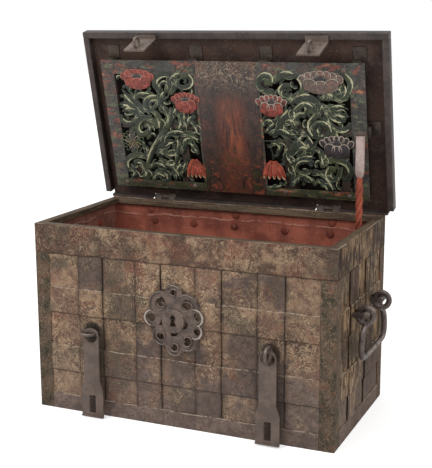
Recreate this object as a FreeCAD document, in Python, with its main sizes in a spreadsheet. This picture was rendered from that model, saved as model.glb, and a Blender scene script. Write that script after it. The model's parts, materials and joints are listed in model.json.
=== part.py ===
"""Iron coffer chest with a strapped body, a propped open lid and a bolt lock under the lid.

Millimetres. The origin is the centre of the underside. The front faces -Y and up is +Z.
Pieces of the lid are drawn with the lid shut and turned to the open pose at the end.
"""
import FreeCAD
import Part
import Sketcher
import math
import os
import re

os.makedirs("parts", exist_ok=True)
doc = FreeCAD.newDocument("coffer_chest")
sizes = doc.addObject("Spreadsheet::Sheet", "Sizes")
nodes = []

# Driving sizes in millimetres, and one angle in degrees.
DRIVING = {
    "body_width": 860,  # width over the flat straps
    "body_depth": 450,  # depth over the flat straps
    "body_height": 525,  # height to the top of the rim
    "plate_thick": 4,  # wall, floor and lid plate
    "strap_thick": 3,  # flat straps and bands
    "strap_wide": 74,  # crossing straps
    "strap_ramp": 6,  # length of the step where one strap climbs over another
    "front_pitch": 173,  # spacing of the uprights on front and back
    "side_pitch": 146,  # spacing of the uprights on the sides
    "upper_strap_z": 316,  # height of the upper cross straps
    "lower_strap_z": 151,  # height of the lower cross straps
    "top_band": 80,  # height of the band under the rim
    "bottom_band": 45,  # height of the band at the floor
    "corner_leg": 42,  # leg of the corner irons
    "rim_tall": 16,  # rim bar height
    "rim_wide": 26,  # front and side rim, strap included
    "rim_back_wide": 20,  # back rim, strap included
    "hinge_behind": 22,  # hinge line behind the back straps
    "hinge_above": 8,  # hinge line above the rim
    "open_angle": 76.4,  # angle of the open lid in degrees
    "lid_overhang": 24,  # lid edge beyond the side straps
    "lid_front_overhang": 44,  # lid edge beyond the front straps
    "flange_thick": 18,  # rim bar of the lid
    "flange_deep": 28,  # drop of the lid rim bar
    "lid_pitch": 130,  # spacing of the long lid straps
    "hinge_width": 70,  # width of a hinge
    "barrel_radius": 7,  # hinge barrel
    "pin_radius": 4,  # hinge pin
    "bolt_wide": 24,  # bolt width
    "bolt_thick": 8,  # bolt thickness
    "bolt_throw": 12,  # travel of every bolt
    "crank_arm": 18,  # crank pins from the middle of the hub
    "crank_pin": 4,  # radius of the crank and bolt pins
    "cover_thick": 3,  # lock cover
    "cover_right_gap": 38,  # right edge of the lock cover inside the side straps
    "cover_left_gap": 30,  # left edge of the lock cover inside the side straps
    "back_lip": 3.8,  # back band above the rim
    "lid_bar_short": 14,  # end of the side rim bars of the lid before the hinge line
    "hasp_thick": 5,  # hasp plate
    "hasp_right_x": 261,  # right hasp
    "hasp_left_x": 247,  # left hasp, measured to the left
    "ring_right_z": 244,  # centre of the right hasp eye
    "ring_left_z": 239.34,  # centre of the left hasp eye
    "handle_down": 200,  # handle pivots below the top of the rim
    "handle_out": 33,  # handle pivot out from the side straps
    "handle_bar": 8,  # radius of the handle bar
    "handle_curl": 20,  # middle radius of the curled handle ends
    "handle_pin": 8,  # radius of the staple bars that carry the handles
    "stay_from_wall": 48,  # stay inside the right wall
    "stay_down": 50,  # stay pivot below the top of the rim
    "stay_long": 280,  # stay from pivot to tip
    "stay_clear": 5.995,  # middle of the stay tip off the lock cover
    "tab_ring_down": 79,  # rings of the lid tabs below the top of the rim
}
for row, (alias, value) in enumerate(DRIVING.items(), 1):
    sizes.set("A%d" % row, alias.replace("_", " "))
    sizes.set("B%d" % row, str(value))
    sizes.setAlias("B%d" % row, alias)

TURN = {
    "+x": FreeCAD.Rotation(FreeCAD.Vector(0, 1, 0), 90),
    "-x": FreeCAD.Rotation(FreeCAD.Vector(0, 1, 0), -90),
    "+y": FreeCAD.Rotation(FreeCAD.Vector(1, 0, 0), -90),
    "-y": FreeCAD.Rotation(FreeCAD.Vector(1, 0, 0), 90),
    "+z": FreeCAD.Rotation(),
    "-z": FreeCAD.Rotation(FreeCAD.Vector(1, 0, 0), 180),
}
PLANE = {
    "xy": FreeCAD.Rotation(),
    "xz": FreeCAD.Rotation(FreeCAD.Vector(1, 0, 0), 90),
    "yz": FreeCAD.Rotation(FreeCAD.Vector(1, 1, 1), 120),
}
UPRIGHT = FreeCAD.Rotation(FreeCAD.Vector(0, 1, 0), -90)
FLIP = FreeCAD.Rotation(FreeCAD.Vector(0, 1, 0), 180)
ONTO = {
    "front": FreeCAD.Rotation(),
    "back": FreeCAD.Rotation(FreeCAD.Vector(0, 0, 1), 180),
    "right": FreeCAD.Rotation(FreeCAD.Vector(0, 0, 1), 90),
    "left": FreeCAD.Rotation(FreeCAD.Vector(0, 0, 1), -90),
}


def full(text):
    """The expression with every size name pointing at the sheet."""
    def swap(found):
        word = found.group(0)
        return "Sizes." + word if word in DRIVING else word
    return re.sub(r"[a-z][a-z_]*", swap, str(text))


def bind(thing, prop, text):
    thing.setExpression(prop, full(text))


def place(thing, x, y, z):
    bind(thing, "Placement.Base.x", x)
    bind(thing, "Placement.Base.y", y)
    bind(thing, "Placement.Base.z", z)
    return thing


def box(name, x_low, x_high, y_low, y_high, z_low, z_high):
    thing = doc.addObject("Part::Box", name)
    bind(thing, "Length", "%s - (%s)" % (x_high, x_low))
    bind(thing, "Width", "%s - (%s)" % (y_high, y_low))
    bind(thing, "Height", "%s - (%s)" % (z_high, z_low))
    return place(thing, x_low, y_low, z_low)


def rod(name, way, x, y, z, radius, length):
    """A cylinder that starts at the point and runs the given way."""
    thing = doc.addObject("Part::Cylinder", name)
    thing.Placement = FreeCAD.Placement(FreeCAD.Vector(), TURN[way])
    bind(thing, "Radius", radius)
    bind(thing, "Height", length)
    return place(thing, x, y, z)


def head(name, way, x, y, z, wide, narrow, tall):
    """A rivet head standing on its wider end."""
    thing = doc.addObject("Part::Cone", name)
    thing.Placement = FreeCAD.Placement(FreeCAD.Vector(), TURN[way])
    bind(thing, "Radius1", wide)
    bind(thing, "Radius2", narrow)
    bind(thing, "Height", tall)
    return place(thing, x, y, z)


def ring(name, way, x, y, z, middle, thick):
    """A round ring of round bar."""
    thing = doc.addObject("Part::Torus", name)
    thing.Placement = FreeCAD.Placement(FreeCAD.Vector(), TURN[way])
    bind(thing, "Radius1", middle)
    bind(thing, "Radius2", thick)
    return place(thing, x, y, z)


def outline(name, plane, points, closed=True):
    """A sketch of straight lines through the points, each point held by two bound lengths."""
    sketch = doc.addObject("Sketcher::SketchObject", name)
    sketch.Placement = FreeCAD.Placement(FreeCAD.Vector(), PLANE[plane])
    count = len(points)
    lines = count if closed else count - 1
    start = [(100 * math.cos(6.2832 * i / count), 100 * math.sin(6.2832 * i / count)) for i in range(count)]
    for i in range(lines):
        a = start[i]
        b = start[(i + 1) % count]
        line = Part.LineSegment(FreeCAD.Vector(a[0], a[1], 0), FreeCAD.Vector(b[0], b[1], 0))
        sketch.addGeometry(line)
    rules = []
    for i in range(lines if closed else lines - 1):
        rules.append(Sketcher.Constraint("Coincident", i, 2, (i + 1) % count, 1))
    for i in range(count):
        line, end = (i, 1) if i < lines else (i - 1, 2)
        rules.append(Sketcher.Constraint("DistanceX", -1, 1, line, end, start[i][0]))
        rules.append(Sketcher.Constraint("DistanceY", -1, 1, line, end, start[i][1]))
    sketch.addConstraint(rules)
    first = lines if closed else lines - 1
    for i, point in enumerate(points):
        bind(sketch, "Constraints[%d]" % (first + 2 * i), point[0])
        bind(sketch, "Constraints[%d]" % (first + 2 * i + 1), point[1])
    return sketch


def prism(name, plane, points, low, high):
    """The outline drawn out from low to high along the third axis."""
    sketch = outline(name + "_line", plane, points)
    axis = {"xy": "z", "xz": "y", "yz": "x"}[plane]
    bind(sketch, "Placement.Base." + axis, high if plane == "xz" else low)
    thing = doc.addObject("Part::Extrusion", name)
    thing.Base = sketch
    thing.DirMode = "Normal"
    thing.Solid = True
    bind(thing, "LengthFwd", "%s - (%s)" % (high, low))
    return thing


def group(name, things, turn=None):
    thing = doc.addObject("Part::Compound", name)
    thing.Links = things
    if turn is not None:
        thing.Placement = FreeCAD.Placement(FreeCAD.Vector(), turn)
    return thing


def fuse(name, things):
    thing = doc.addObject("Part::MultiFuse", name)
    thing.Shapes = things
    thing.Refine = True
    return thing


def cut(name, base, tools):
    thing = doc.addObject("Part::Cut", name)
    thing.Base = base
    thing.Tool = tools[0] if len(tools) == 1 else fuse(name + "_tool", tools)
    thing.Refine = True
    return thing


def node(name, things):
    """A finished body piece."""
    thing = group(name, things)
    thing.Label = name
    nodes.append(thing)
    return thing


def lid_node(name, things):
    """A finished lid piece, turned about the hinge to the open pose."""
    thing = group(name, things, FreeCAD.Rotation(FreeCAD.Vector(-1, 0, 0), 76))
    thing.Label = name
    bind(thing, "Placement.Rotation.Angle", "open_angle")
    bind(thing, "Placement.Base.y", HINGE_Y + " * (1 - cos(open_angle)) - " + HINGE_Z + " * sin(open_angle)")
    bind(thing, "Placement.Base.z", HINGE_Z + " * (1 - cos(open_angle)) + " + HINGE_Y + " * sin(open_angle)")
    nodes.append(thing)
    return thing


doc.recompute()

HANDLE_Z = "(body_height - handle_down)"
SIDE = "(body_width / 2)"
FRONT = "(body_depth / 2)"
WALL_X = "(body_width / 2 - strap_thick)"
WALL_Y = "(body_depth / 2 - strap_thick)"
IN_X = "(body_width / 2 - strap_thick - plate_thick)"
IN_Y = "(body_depth / 2 - strap_thick - plate_thick)"
RIM_Z = "(body_height - rim_tall)"
BAND_Z = "(body_height - top_band)"
HINGE_Y = "(body_depth / 2 + hinge_behind)"
HINGE_Z = "(body_height + hinge_above)"
LID_UNDER = "(body_height + hinge_above - plate_thick)"
LID_STRAP = "(body_height + hinge_above + strap_thick)"
LID_UPPER = "(body_height + hinge_above + strap_thick * 2)"
FLANGE_Z = "(body_height + hinge_above + strap_thick - flange_deep)"
LID_SIDE = "(body_width / 2 + lid_overhang)"
LID_SIDE_IN = "(body_width / 2 + lid_overhang - flange_thick)"
LID_FRONT = "(body_depth / 2 + lid_front_overhang)"
LID_FRONT_IN = "(body_depth / 2 + lid_front_overhang - flange_thick)"
LID_BACK = "(body_depth / 2 + hinge_behind - 5)"
HINGE_X = "(front_pitch * 1.5)"
UP_MID = "((bottom_band + body_height - top_band) / 2)"
UP_HALF = "((body_height - top_band - bottom_band) / 2)"
COVER_Z = "(body_height - 31)"
BOLT_Z = "(body_height - 26)"
TAIL_Z = "(body_height - 16.5)"
FOOT_Z = "(body_height + 1)"
COVER_LEFT = "-(body_width / 2 - cover_left_gap)"
COVER_RIGHT = "(body_width / 2 - cover_right_gap)"
STAY_X = "(body_width / 2 - strap_thick - plate_thick - stay_from_wall)"
STAY_Z = "(body_height - stay_down)"
STAY_RISE = "(stay_long - stay_down - hinge_above)"
STAY_BACK = "((%s * cos(open_angle) + hinge_above + 31 + stay_clear) / sin(open_angle))" % STAY_RISE
STAY_Y = "(body_depth / 2 + hinge_behind - %s)" % STAY_BACK
CATCH_Y = "(%s - %s * cos(open_angle) - %s * sin(open_angle) + 0.89)" % (HINGE_Y, STAY_BACK, STAY_RISE)
TAB_RING_Z = "(body_height - tab_ring_down)"


def woven(name, half, over, wide="strap_wide"):
    """A strap along X, its face toward -Y, that climbs over the crossings named in over."""
    under_line = [("-" + half, "0")]
    upper_line = [("-" + half, "-strap_thick")]
    for middle in over:
        low = "%s - strap_wide / 2" % middle
        high = "%s + strap_wide / 2" % middle
        under_line += [(low + " - strap_ramp", "0"), (low, "-strap_thick")]
        under_line += [(high, "-strap_thick"), (high + " + strap_ramp", "0")]
        upper_line += [(low + " - strap_ramp", "-strap_thick"), (low, "-strap_thick * 2")]
        upper_line += [(high, "-strap_thick * 2"), (high + " + strap_ramp", "-strap_thick")]
    points = under_line + [(half, "0")] + [(half, "-strap_thick")] + upper_line[:0:-1] + [upper_line[0]]
    return prism(name, "xy", points, "-%s / 2" % wide, "%s / 2" % wide)


def laid(name, strap, face, turn, x, y, z):
    """The strap laid on one face of the body."""
    return place(group(name, [strap], ONTO[face].multiply(turn)), x, y, z)


# Floor, walls and rim.
node("floor_plate", [box("floor", "-" + WALL_X, WALL_X, "-" + WALL_Y, WALL_Y, "0", "plate_thick")])
eye_holes = [
    rod("eye_hole_right", "-y", "hasp_right_x", "-%s + 1" % IN_Y, "ring_right_z", "5.1", "20"),
    rod("eye_hole_left", "-y", "-hasp_left_x - 8.6", "-%s + 1" % IN_Y, "ring_left_z", "5.1", "20"),
]
front_wall = box("front_wall", "-" + WALL_X, WALL_X, "-" + WALL_Y, "-" + IN_Y, "plate_thick", RIM_Z)
node("front_plate", [cut("front_wall_bored", front_wall, eye_holes)])
node("back_plate", [box("back_wall", "-" + WALL_X, WALL_X, IN_Y, WALL_Y, "plate_thick", RIM_Z)])
node("left_plate", [box("left_wall", "-" + WALL_X, "-" + IN_X, "-" + IN_Y, IN_Y, "plate_thick", RIM_Z)])
node("right_plate", [box("right_wall", IN_X, WALL_X, "-" + IN_Y, IN_Y, "plate_thick", RIM_Z)])
RIM_FRONT_Y = "(body_depth / 2 - rim_wide)"
RIM_BACK_Y = "(body_depth / 2 - rim_back_wide)"
RIM_X = "(body_width / 2 - rim_wide)"
node("rim_front", [box("rim_a", "-" + WALL_X, WALL_X, "-" + WALL_Y, "-" + RIM_FRONT_Y, RIM_Z,
                       "body_height")])
node("rim_back", [box("rim_b", "-" + WALL_X, WALL_X, RIM_BACK_Y, WALL_Y, RIM_Z, "body_height")])
node("rim_left", [box("rim_c", "-" + WALL_X, "-" + RIM_X, "-" + RIM_FRONT_Y, RIM_BACK_Y, RIM_Z,
                      "body_height")])
node("rim_right", [box("rim_d", RIM_X, WALL_X, "-" + RIM_FRONT_Y, RIM_BACK_Y, RIM_Z, "body_height")])

# Corner irons, one bent strip on each upright corner.
CORNER_X = "(body_width / 2 - corner_leg)"
CORNER_Y = "(body_depth / 2 - corner_leg)"


def corner(name, sx, sy):
    points = [
        (sx + SIDE, sy + FRONT), (sx + CORNER_X, sy + FRONT), (sx + CORNER_X, sy + WALL_Y),
        (sx + WALL_X, sy + WALL_Y), (sx + WALL_X, sy + CORNER_Y), (sx + SIDE, sy + CORNER_Y),
    ]
    node(name, [prism(name + "_bar", "xy", points, "0", BAND_Z)])


corner("corner_iron_front_left", "-", "-")
corner("corner_iron_front_right", "", "-")
corner("corner_iron_back_left", "-", "")
corner("corner_iron_back_right", "", "")

# Crossing straps of the body. Each strap climbs over every other strap it meets.
tall_a = woven("tall_a", UP_HALF, ["upper_strap_z - " + UP_MID])
tall_b = woven("tall_b", UP_HALF, ["lower_strap_z - " + UP_MID])
long_a = woven("long_a", CORNER_X, ["-front_pitch / 2", "front_pitch * 1.5"])
short_a = woven("short_a", CORNER_Y, ["side_pitch / 2"])


def uprights(face, xs, ys, order):
    made = []
    for i, kind in enumerate(order):
        name = "%s_upright_%d" % (face, i)
        made.append(laid(name, tall_a if kind == "a" else tall_b, face, UPRIGHT, xs[i], ys[i], UP_MID))
    return made


across = ["-front_pitch * 1.5", "-front_pitch / 2", "front_pitch / 2", "front_pitch * 1.5"]
front_ups = group("front_ups", uprights("front", across, ["-" + WALL_Y] * 4, "abab"))
node("front_upright_straps", [cut("front_ups_bored", front_ups, eye_holes)])
node("back_upright_straps", uprights("back", across, [WALL_Y] * 4, "baba"))
along = ["-side_pitch / 2", "side_pitch / 2"]
node("right_upright_straps", uprights("right", [WALL_X] * 2, along, "ab"))
node("left_upright_straps", uprights("left", ["-" + WALL_X] * 2, along, "ba"))


def crosses(face, strap, x, y, low, high, on_side, top="body_height"):
    upper = laid(face + "_upper_strap", strap, face, ONTO["front"], x, y, "upper_strap_z")
    lower = laid(face + "_lower_strap", strap, face, FLIP, x, y, "lower_strap_z")
    if on_side:
        edge = box(face + "_foot", low, high, "-" + CORNER_Y, CORNER_Y, "0", "bottom_band")
        band = box(face + "_band", low, high, "-" + WALL_Y, WALL_Y, BAND_Z, top)
    else:
        edge = box(face + "_foot", "-" + CORNER_X, CORNER_X, low, high, "0", "bottom_band")
        band = box(face + "_band", "-" + SIDE, SIDE, low, high, BAND_Z, top)
    node(face + "_cross_straps", [upper, lower, edge, band])


crosses("front", long_a, "0", "-" + WALL_Y, "-" + FRONT, "-" + WALL_Y, False)
crosses("back", long_a, "0", WALL_Y, WALL_Y, FRONT, False, "body_height + back_lip")
crosses("right", short_a, WALL_X, "0", WALL_X, SIDE, True)
crosses("left", short_a, "-" + WALL_X, "0", "-" + SIDE, "-" + WALL_X, True)

# Rivet heads inside the walls.
rivets = []
for i, x in enumerate(["-298", "-18", "278"]):
    rivets.append(head("rivet_back_top_%d" % i, "-y", x, IN_Y, "body_height - 28", "8", "5", "4.5"))
for i, x in enumerate(["-285", "-155", "-22", "136", "272"]):
    rivets.append(head("rivet_back_low_%d" % i, "-y", x, IN_Y, "body_height - 62", "8", "5", "4.5"))
    rivets.append(head("rivet_front_low_%d" % i, "+y", x, "-" + IN_Y, "body_height - 62", "8", "5", "4.5"))
for i, y in enumerate(["-140", "-10", "120"]):
    rivets.append(head("rivet_left_%d" % i, "+x", "-" + IN_X, y, "body_height - 62", "8", "5", "4.5"))
for i, y in enumerate(["-140", "-10"]):
    rivets.append(head("rivet_right_%d" % i, "-x", IN_X, y, "body_height - 62", "8", "5", "4.5"))
node("wall_rivets", rivets)

# Rosette of the blind keyhole on the front.
ROSE_Y = "-(%s + strap_thick)" % FRONT


def petal(name, x, z, radius):
    return rod(name, "-y", "-8 + %s" % x, ROSE_Y, "298 + %s" % z, radius, "3")


def pierce(name, x, z, radius):
    return rod(name, "-y", "-8 + %s" % x, ROSE_Y + " + 1", "298 + %s" % z, radius, "12")


petals = [
    petal("petal_top_left", "-36", "40", "38"), petal("petal_top_right", "36", "38", "38"),
    petal("petal_top", "0", "74", "24"), petal("petal_left", "-62", "2", "25"),
    petal("petal_right_high", "60", "14", "27"), petal("petal_right_low", "60", "-22", "24"),
    petal("petal_low_left", "-36", "-44", "28"), petal("petal_low_right", "38", "-50", "32"),
    petal("petal_bottom", "2", "-70", "28"),
]
rose_boss = rod("rose_boss", "-y", "-8", ROSE_Y, "298", "32", "8")
piercings = [
    pierce("pierce_top_left", "-38", "48", "13"), pierce("pierce_top_right", "38", "46", "13"),
    pierce("pierce_top", "0", "76", "8"), pierce("pierce_left", "-66", "2", "11"),
    pierce("pierce_right_high", "68", "18", "11"), pierce("pierce_right_low", "66", "-24", "9"),
    pierce("pierce_low_left", "-40", "-48", "10"), pierce("pierce_low_right", "42", "-54", "14"),
    pierce("pierce_bottom", "0", "-74", "9"), pierce("key_round", "0", "8", "7"),
    prism("key_slot", "xz", [("-11", "308"), ("-5", "308"), ("1", "284"), ("-17", "284")],
          ROSE_Y + " - 11", ROSE_Y + " + 1"),
]
node("lock_rosette", [cut("rosette", fuse("rosette_blank", petals + [rose_boss]), piercings)])

# Hasp eyes. The right eye stands upright and is fixed. The left eye lies flat and can swivel.
EYE_RIGHT_Y = "-(%s + 25.5)" % FRONT
EYE_LEFT_Y = "-(%s + 24.5)" % FRONT
EYE_LEFT_X = "(-hasp_left_x - 8.6)"
node("hasp_eye_right", [fuse("eye_right", [
    ring("eye_right_ring", "+x", "hasp_right_x", EYE_RIGHT_Y, "ring_right_z", "20.6", "4.6"),
    rod("eye_right_shank", "+y", "hasp_right_x", "-%s - 5" % FRONT, "ring_right_z", "5", "20"),
    rod("eye_right_washer", "+y", "hasp_right_x", "-" + IN_Y, "ring_right_z", "11", "3"),
])])
node("hasp_eye_left", [fuse("eye_left", [
    ring("eye_left_ring", "+z", EYE_LEFT_X, EYE_LEFT_Y, "ring_left_z", "19.45", "4.4"),
    rod("eye_left_shank", "+y", EYE_LEFT_X, "-%s - 5" % FRONT, "ring_left_z", "5", "20"),
    rod("eye_left_washer", "+y", EYE_LEFT_X, "-%s + 0.3" % IN_Y, "ring_left_z", "11", "2.7"),
])])


def hasp(name, x, y, eye_z, hole_up, pivot_up, hole_wide, hole_tall):
    """A hanging hasp: round top with the eye hole, a waist, a wider foot with a slot, a turned lip."""
    hole_z = "(%s - %s)" % (eye_z, hole_up)
    reach = "(%s - %s - %s - 2 * %s)" % (TAB_RING_Z, eye_z, hole_up, pivot_up)
    shoulder = "%s - %s + 70" % (hole_z, reach)
    flare = "%s - %s + 42" % (hole_z, reach)
    foot = "%s - %s - 37" % (hole_z, reach)
    points = [
        ("%s - 23.5" % x, hole_z), ("%s - 23.5" % x, shoulder), ("%s - 33" % x, flare),
        ("%s - 33" % x, foot), ("%s + 33" % x, foot), ("%s + 33" % x, flare),
        ("%s + 23.5" % x, shoulder), ("%s + 23.5" % x, hole_z),
    ]
    back = "%s + hasp_thick / 2" % y
    front = "%s - hasp_thick / 2" % y
    plate = prism(name + "_plate", "xz", points, front, back)
    top = rod(name + "_top", "-y", x, back, hole_z, "23.5", "hasp_thick")
    lip = box(name + "_lip", "%s - 33" % x, "%s + 33" % x, front + " - 3.5", back, foot, foot + " + 5")
    hole = doc.addObject("Part::Ellipse", name + "_oval")
    hole.Placement = FreeCAD.Placement(FreeCAD.Vector(), TURN["-y"])
    bind(hole, "MajorRadius", hole_wide)
    bind(hole, "MinorRadius", hole_tall)
    place(hole, x, "%s + 10" % y, hole_z)
    bore = doc.addObject("Part::Extrusion", name + "_bore")
    bore.Base = hole
    bore.DirMode = "Custom"
    bore.Dir = FreeCAD.Vector(0, -1, 0)
    bore.Solid = True
    bore.LengthFwd = 20
    slot = box(name + "_slot", "%s - 9.5" % x, "%s + 9.5" % x, "%s - 10" % y, "%s + 10" % y,
               "%s - %s - 25" % (hole_z, reach), "%s - %s + 25" % (hole_z, reach))
    node(name, [cut(name + "_cut", fuse(name + "_blank", [plate, top, lip]), [bore, slot])])


hasp("hasp_right", "hasp_right_x", EYE_RIGHT_Y, "ring_right_z", "10", "0", "19", "16.1")
hasp("hasp_left", "-hasp_left_x", "(%s - 1.24)" % EYE_LEFT_Y, "ring_left_z", "7.74", "3.46", "18.95",
     "16.63")

# Drop handles and their staples. The curls hang on the pins, which sit high in them.
PIN_UP = "(body_height - handle_down + handle_curl - handle_bar - handle_pin - 0.6)"


def handle(name, sign):
    x = "%s(body_width / 2 + handle_out)" % sign
    pieces = []
    path = [("-80", HANDLE_Z + " - 21"), ("-110", HANDLE_Z + " - 52"), ("-117", HANDLE_Z + " - 85"),
            ("-96", HANDLE_Z + " - 112"), ("96", HANDLE_Z + " - 112"), ("117", HANDLE_Z + " - 85"),
            ("110", HANDLE_Z + " - 52"), ("80", HANDLE_Z + " - 21")]
    spine = outline(name + "_path", "yz", path, closed=False)
    bind(spine, "Placement.Base.x", x)
    section = doc.addObject("Part::Circle", name + "_section")
    section.Placement = FreeCAD.Placement(FreeCAD.Vector(), FreeCAD.Rotation(FreeCAD.Vector(0, 0, 1),
                                          FreeCAD.Vector(0, -30, -31)))
    bind(section, "Radius", "handle_bar")
    place(section, x, "-80", HANDLE_Z + " - 21")
    bar = doc.addObject("Part::Sweep", name + "_bar")
    bar.Sections = [section]
    bar.Spine = (spine, ["Edge%d" % (i + 1) for i in range(len(path) - 1)])
    bar.Solid = True
    bar.Transition = "Right corner"
    pieces.append(bar)
    for i, y in enumerate(["-80", "80"]):
        pieces.append(ring("%s_curl_%d" % (name, i), "+y", x, y, HANDLE_Z, "handle_curl", "handle_bar"))
    node(name, [fuse(name + "_whole", pieces)])
    staples = []
    wall = "%s(body_width / 2 + strap_thick)" % sign
    low, high = (x, wall) if sign else (wall, x)
    for i, y in enumerate(["-80", "80"]):
        staples.append(rod("%s_pin_%d" % (name, i), "+y", x, "%s - 21" % y, PIN_UP, "handle_pin", "42"))
        for j, off in enumerate(["-20", "10"]):
            staples.append(box("%s_leg_%d_%d" % (name, i, j), low, high, "%s + %s" % (y, off),
                               "%s + %s + 10" % (y, off), PIN_UP + " - 5.5", PIN_UP + " + 5.5"))
    node("handle_staples_" + name[7:], [fuse(name + "_staples", staples)])


handle("handle_left", "-")
handle("handle_right", "")

# Stay: a bracket on the right wall and one forged prop.
node("stay_bracket", [fuse("bracket", [
    rod("bracket_pin", "-x", IN_X, STAY_Y, STAY_Z, "6", "stay_from_wall + 10"),
    rod("bracket_boss", "-x", IN_X, STAY_Y, STAY_Z, "11", "stay_from_wall - 8"),
    rod("bracket_head", "-x", STAY_X + " - 7", STAY_Y, STAY_Z, "9", "3"),
])])
stay_eye = rod("stay_eye", "+x", STAY_X + " - 6", STAY_Y, STAY_Z, "14", "12")
stay_rod = rod("stay_rod", "+z", STAY_X, STAY_Y, STAY_Z + " + 11", "10", "stay_long - 116")
stay_blade = box("stay_blade", STAY_X + " - 12", STAY_X + " + 12", STAY_Y + " - 4", STAY_Y + " + 4",
                 STAY_Z + " + stay_long - 115", STAY_Z + " + stay_long")
stay_bore = rod("stay_bore", "+x", STAY_X + " - 16", STAY_Y, STAY_Z, "6.2", "32")
node("stay", [cut("stay_whole", fuse("stay_blank", [stay_eye, stay_rod, stay_blade]), [stay_bore])])

# Hinges. The back leaves climb past the rim behind the wall, the lid leaves lie on the lid plate.
LEAF_LOW = "(upper_strap_z + strap_wide / 2 + strap_ramp + 6)"
LID_LEAF = "(lid_pitch + strap_wide / 2 + 18)"
back_leaves = []
lid_leaves = []
pins = []
for side, sign in (("left", "-"), ("right", "")):
    mid = sign + HINGE_X
    arm = [
        (FRONT, LEAF_LOW), (FRONT + " + 3.5", LEAF_LOW),
        (FRONT + " + 6.5", "body_height - 45"), (FRONT + " + 6.5", "body_height - 23.3"),
        (HINGE_Y + " + 4.1", HINGE_Z + " - 2.8"), (HINGE_Y + " - 4.1", HINGE_Z + " + 2.8"),
        (FRONT, "body_height - 15"),
    ]
    knuckles = []
    for i, span in enumerate((("-hinge_width / 2", "-13"), ("13", "hinge_width / 2"))):
        low = "%s + %s" % (mid, span[0])
        high = "%s + %s" % (mid, span[1])
        knuckles.append(prism("%s_arm_%d" % (side, i), "yz", arm, low, high))
        knuckles.append(rod("%s_knuckle_%d" % (side, i), "+x", low, HINGE_Y, HINGE_Z, "barrel_radius",
                            "%s - (%s)" % (high, low)))
    knuckles.append(box(side + "_leaf", mid + " - hinge_width / 2", mid + " + hinge_width / 2", FRONT,
                        FRONT + " + 3.5", LEAF_LOW, "body_height - 60"))
    bore = rod(side + "_bore", "+x", mid + " - 50", HINGE_Y, HINGE_Z, "pin_radius + 0.05", "100")
    back_leaves.append(cut(side + "_back_leaf", fuse(side + "_back_blank", knuckles), [bore]))
    leaf = [
        box(side + "_lid_leaf", mid + " - hinge_width / 2", mid + " + hinge_width / 2", LID_LEAF,
            HINGE_Y + " - barrel_radius - 0.6", HINGE_Z, LID_STRAP),
        box(side + "_lid_neck", mid + " - 12", mid + " + 12", HINGE_Y + " - 9.5", HINGE_Y,
            HINGE_Z + " - 0.5", LID_STRAP),
        rod(side + "_lid_knuckle", "+x", mid + " - 12", HINGE_Y, HINGE_Z, "barrel_radius", "24"),
    ]
    bore_lid = rod(side + "_bore_lid", "+x", mid + " - 50", HINGE_Y, HINGE_Z, "pin_radius + 0.05", "100")
    lid_leaves.append(cut(side + "_front_leaf", fuse(side + "_lid_blank", leaf), [bore_lid]))
    pins.append(rod(side + "_pin", "+x", mid + " - hinge_width / 2 - 1", HINGE_Y, HINGE_Z, "pin_radius",
                    "hinge_width + 2"))
node("hinge_back_leaves", back_leaves)
node("hinge_pins", pins)
lid_node("lid_hinge_leaves", lid_leaves)

# Lid plate with the keyhole, its rim bars and its straps.
notches = []
for side, sign in (("left", "-"), ("right", "")):
    mid = sign + HINGE_X
    notches.append(box(side + "_notch", mid + " - hinge_width / 2 - 1", mid + " + hinge_width / 2 + 1",
                       HINGE_Y + " - barrel_radius - 3", HINGE_Y + " + 10", LID_UNDER + " - 30",
                       LID_STRAP + " + 10"))
keyhole = rod("keyhole", "+z", "0", "0", LID_UNDER + " - 5", "7", "30")
lid_blank = box("lid_blank", "-" + LID_SIDE_IN, LID_SIDE_IN, "-" + LID_FRONT_IN, LID_BACK, LID_UNDER,
                HINGE_Z)
lid_node("lid_plate", [cut("lid_sheet", lid_blank, notches + [keyhole])])
lid_node("lid_rim_front", [box("lid_edge_front", "-" + LID_SIDE, LID_SIDE, "-" + LID_FRONT,
                               "-" + LID_FRONT_IN, FLANGE_Z, LID_STRAP)])
lid_node("lid_rim_left", [box("lid_edge_left", "-" + LID_SIDE, "-" + LID_SIDE_IN, "-" + LID_FRONT_IN,
                              HINGE_Y + " - lid_bar_short", FLANGE_Z, LID_STRAP)])
lid_node("lid_rim_right", [box("lid_edge_right", LID_SIDE_IN, LID_SIDE, "-" + LID_FRONT_IN,
                               HINGE_Y + " - lid_bar_short", FLANGE_Z, LID_STRAP)])
skirt = box("skirt", "-" + LID_SIDE_IN, LID_SIDE_IN, LID_BACK, HINGE_Y, FLANGE_Z + " + 4", LID_STRAP)
skirt_notches = []
for side, sign in (("left", "-"), ("right", "")):
    mid = sign + HINGE_X
    skirt_notches.append(box(side + "_skirt_notch", mid + " - hinge_width / 2 - 1",
                             mid + " + hinge_width / 2 + 1", HINGE_Y + " - 13", HINGE_Y + " + 10",
                             FLANGE_Z, LID_STRAP + " + 10"))
lid_node("lid_rim_back", [cut("skirt_cut", skirt, skirt_notches)])

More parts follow.
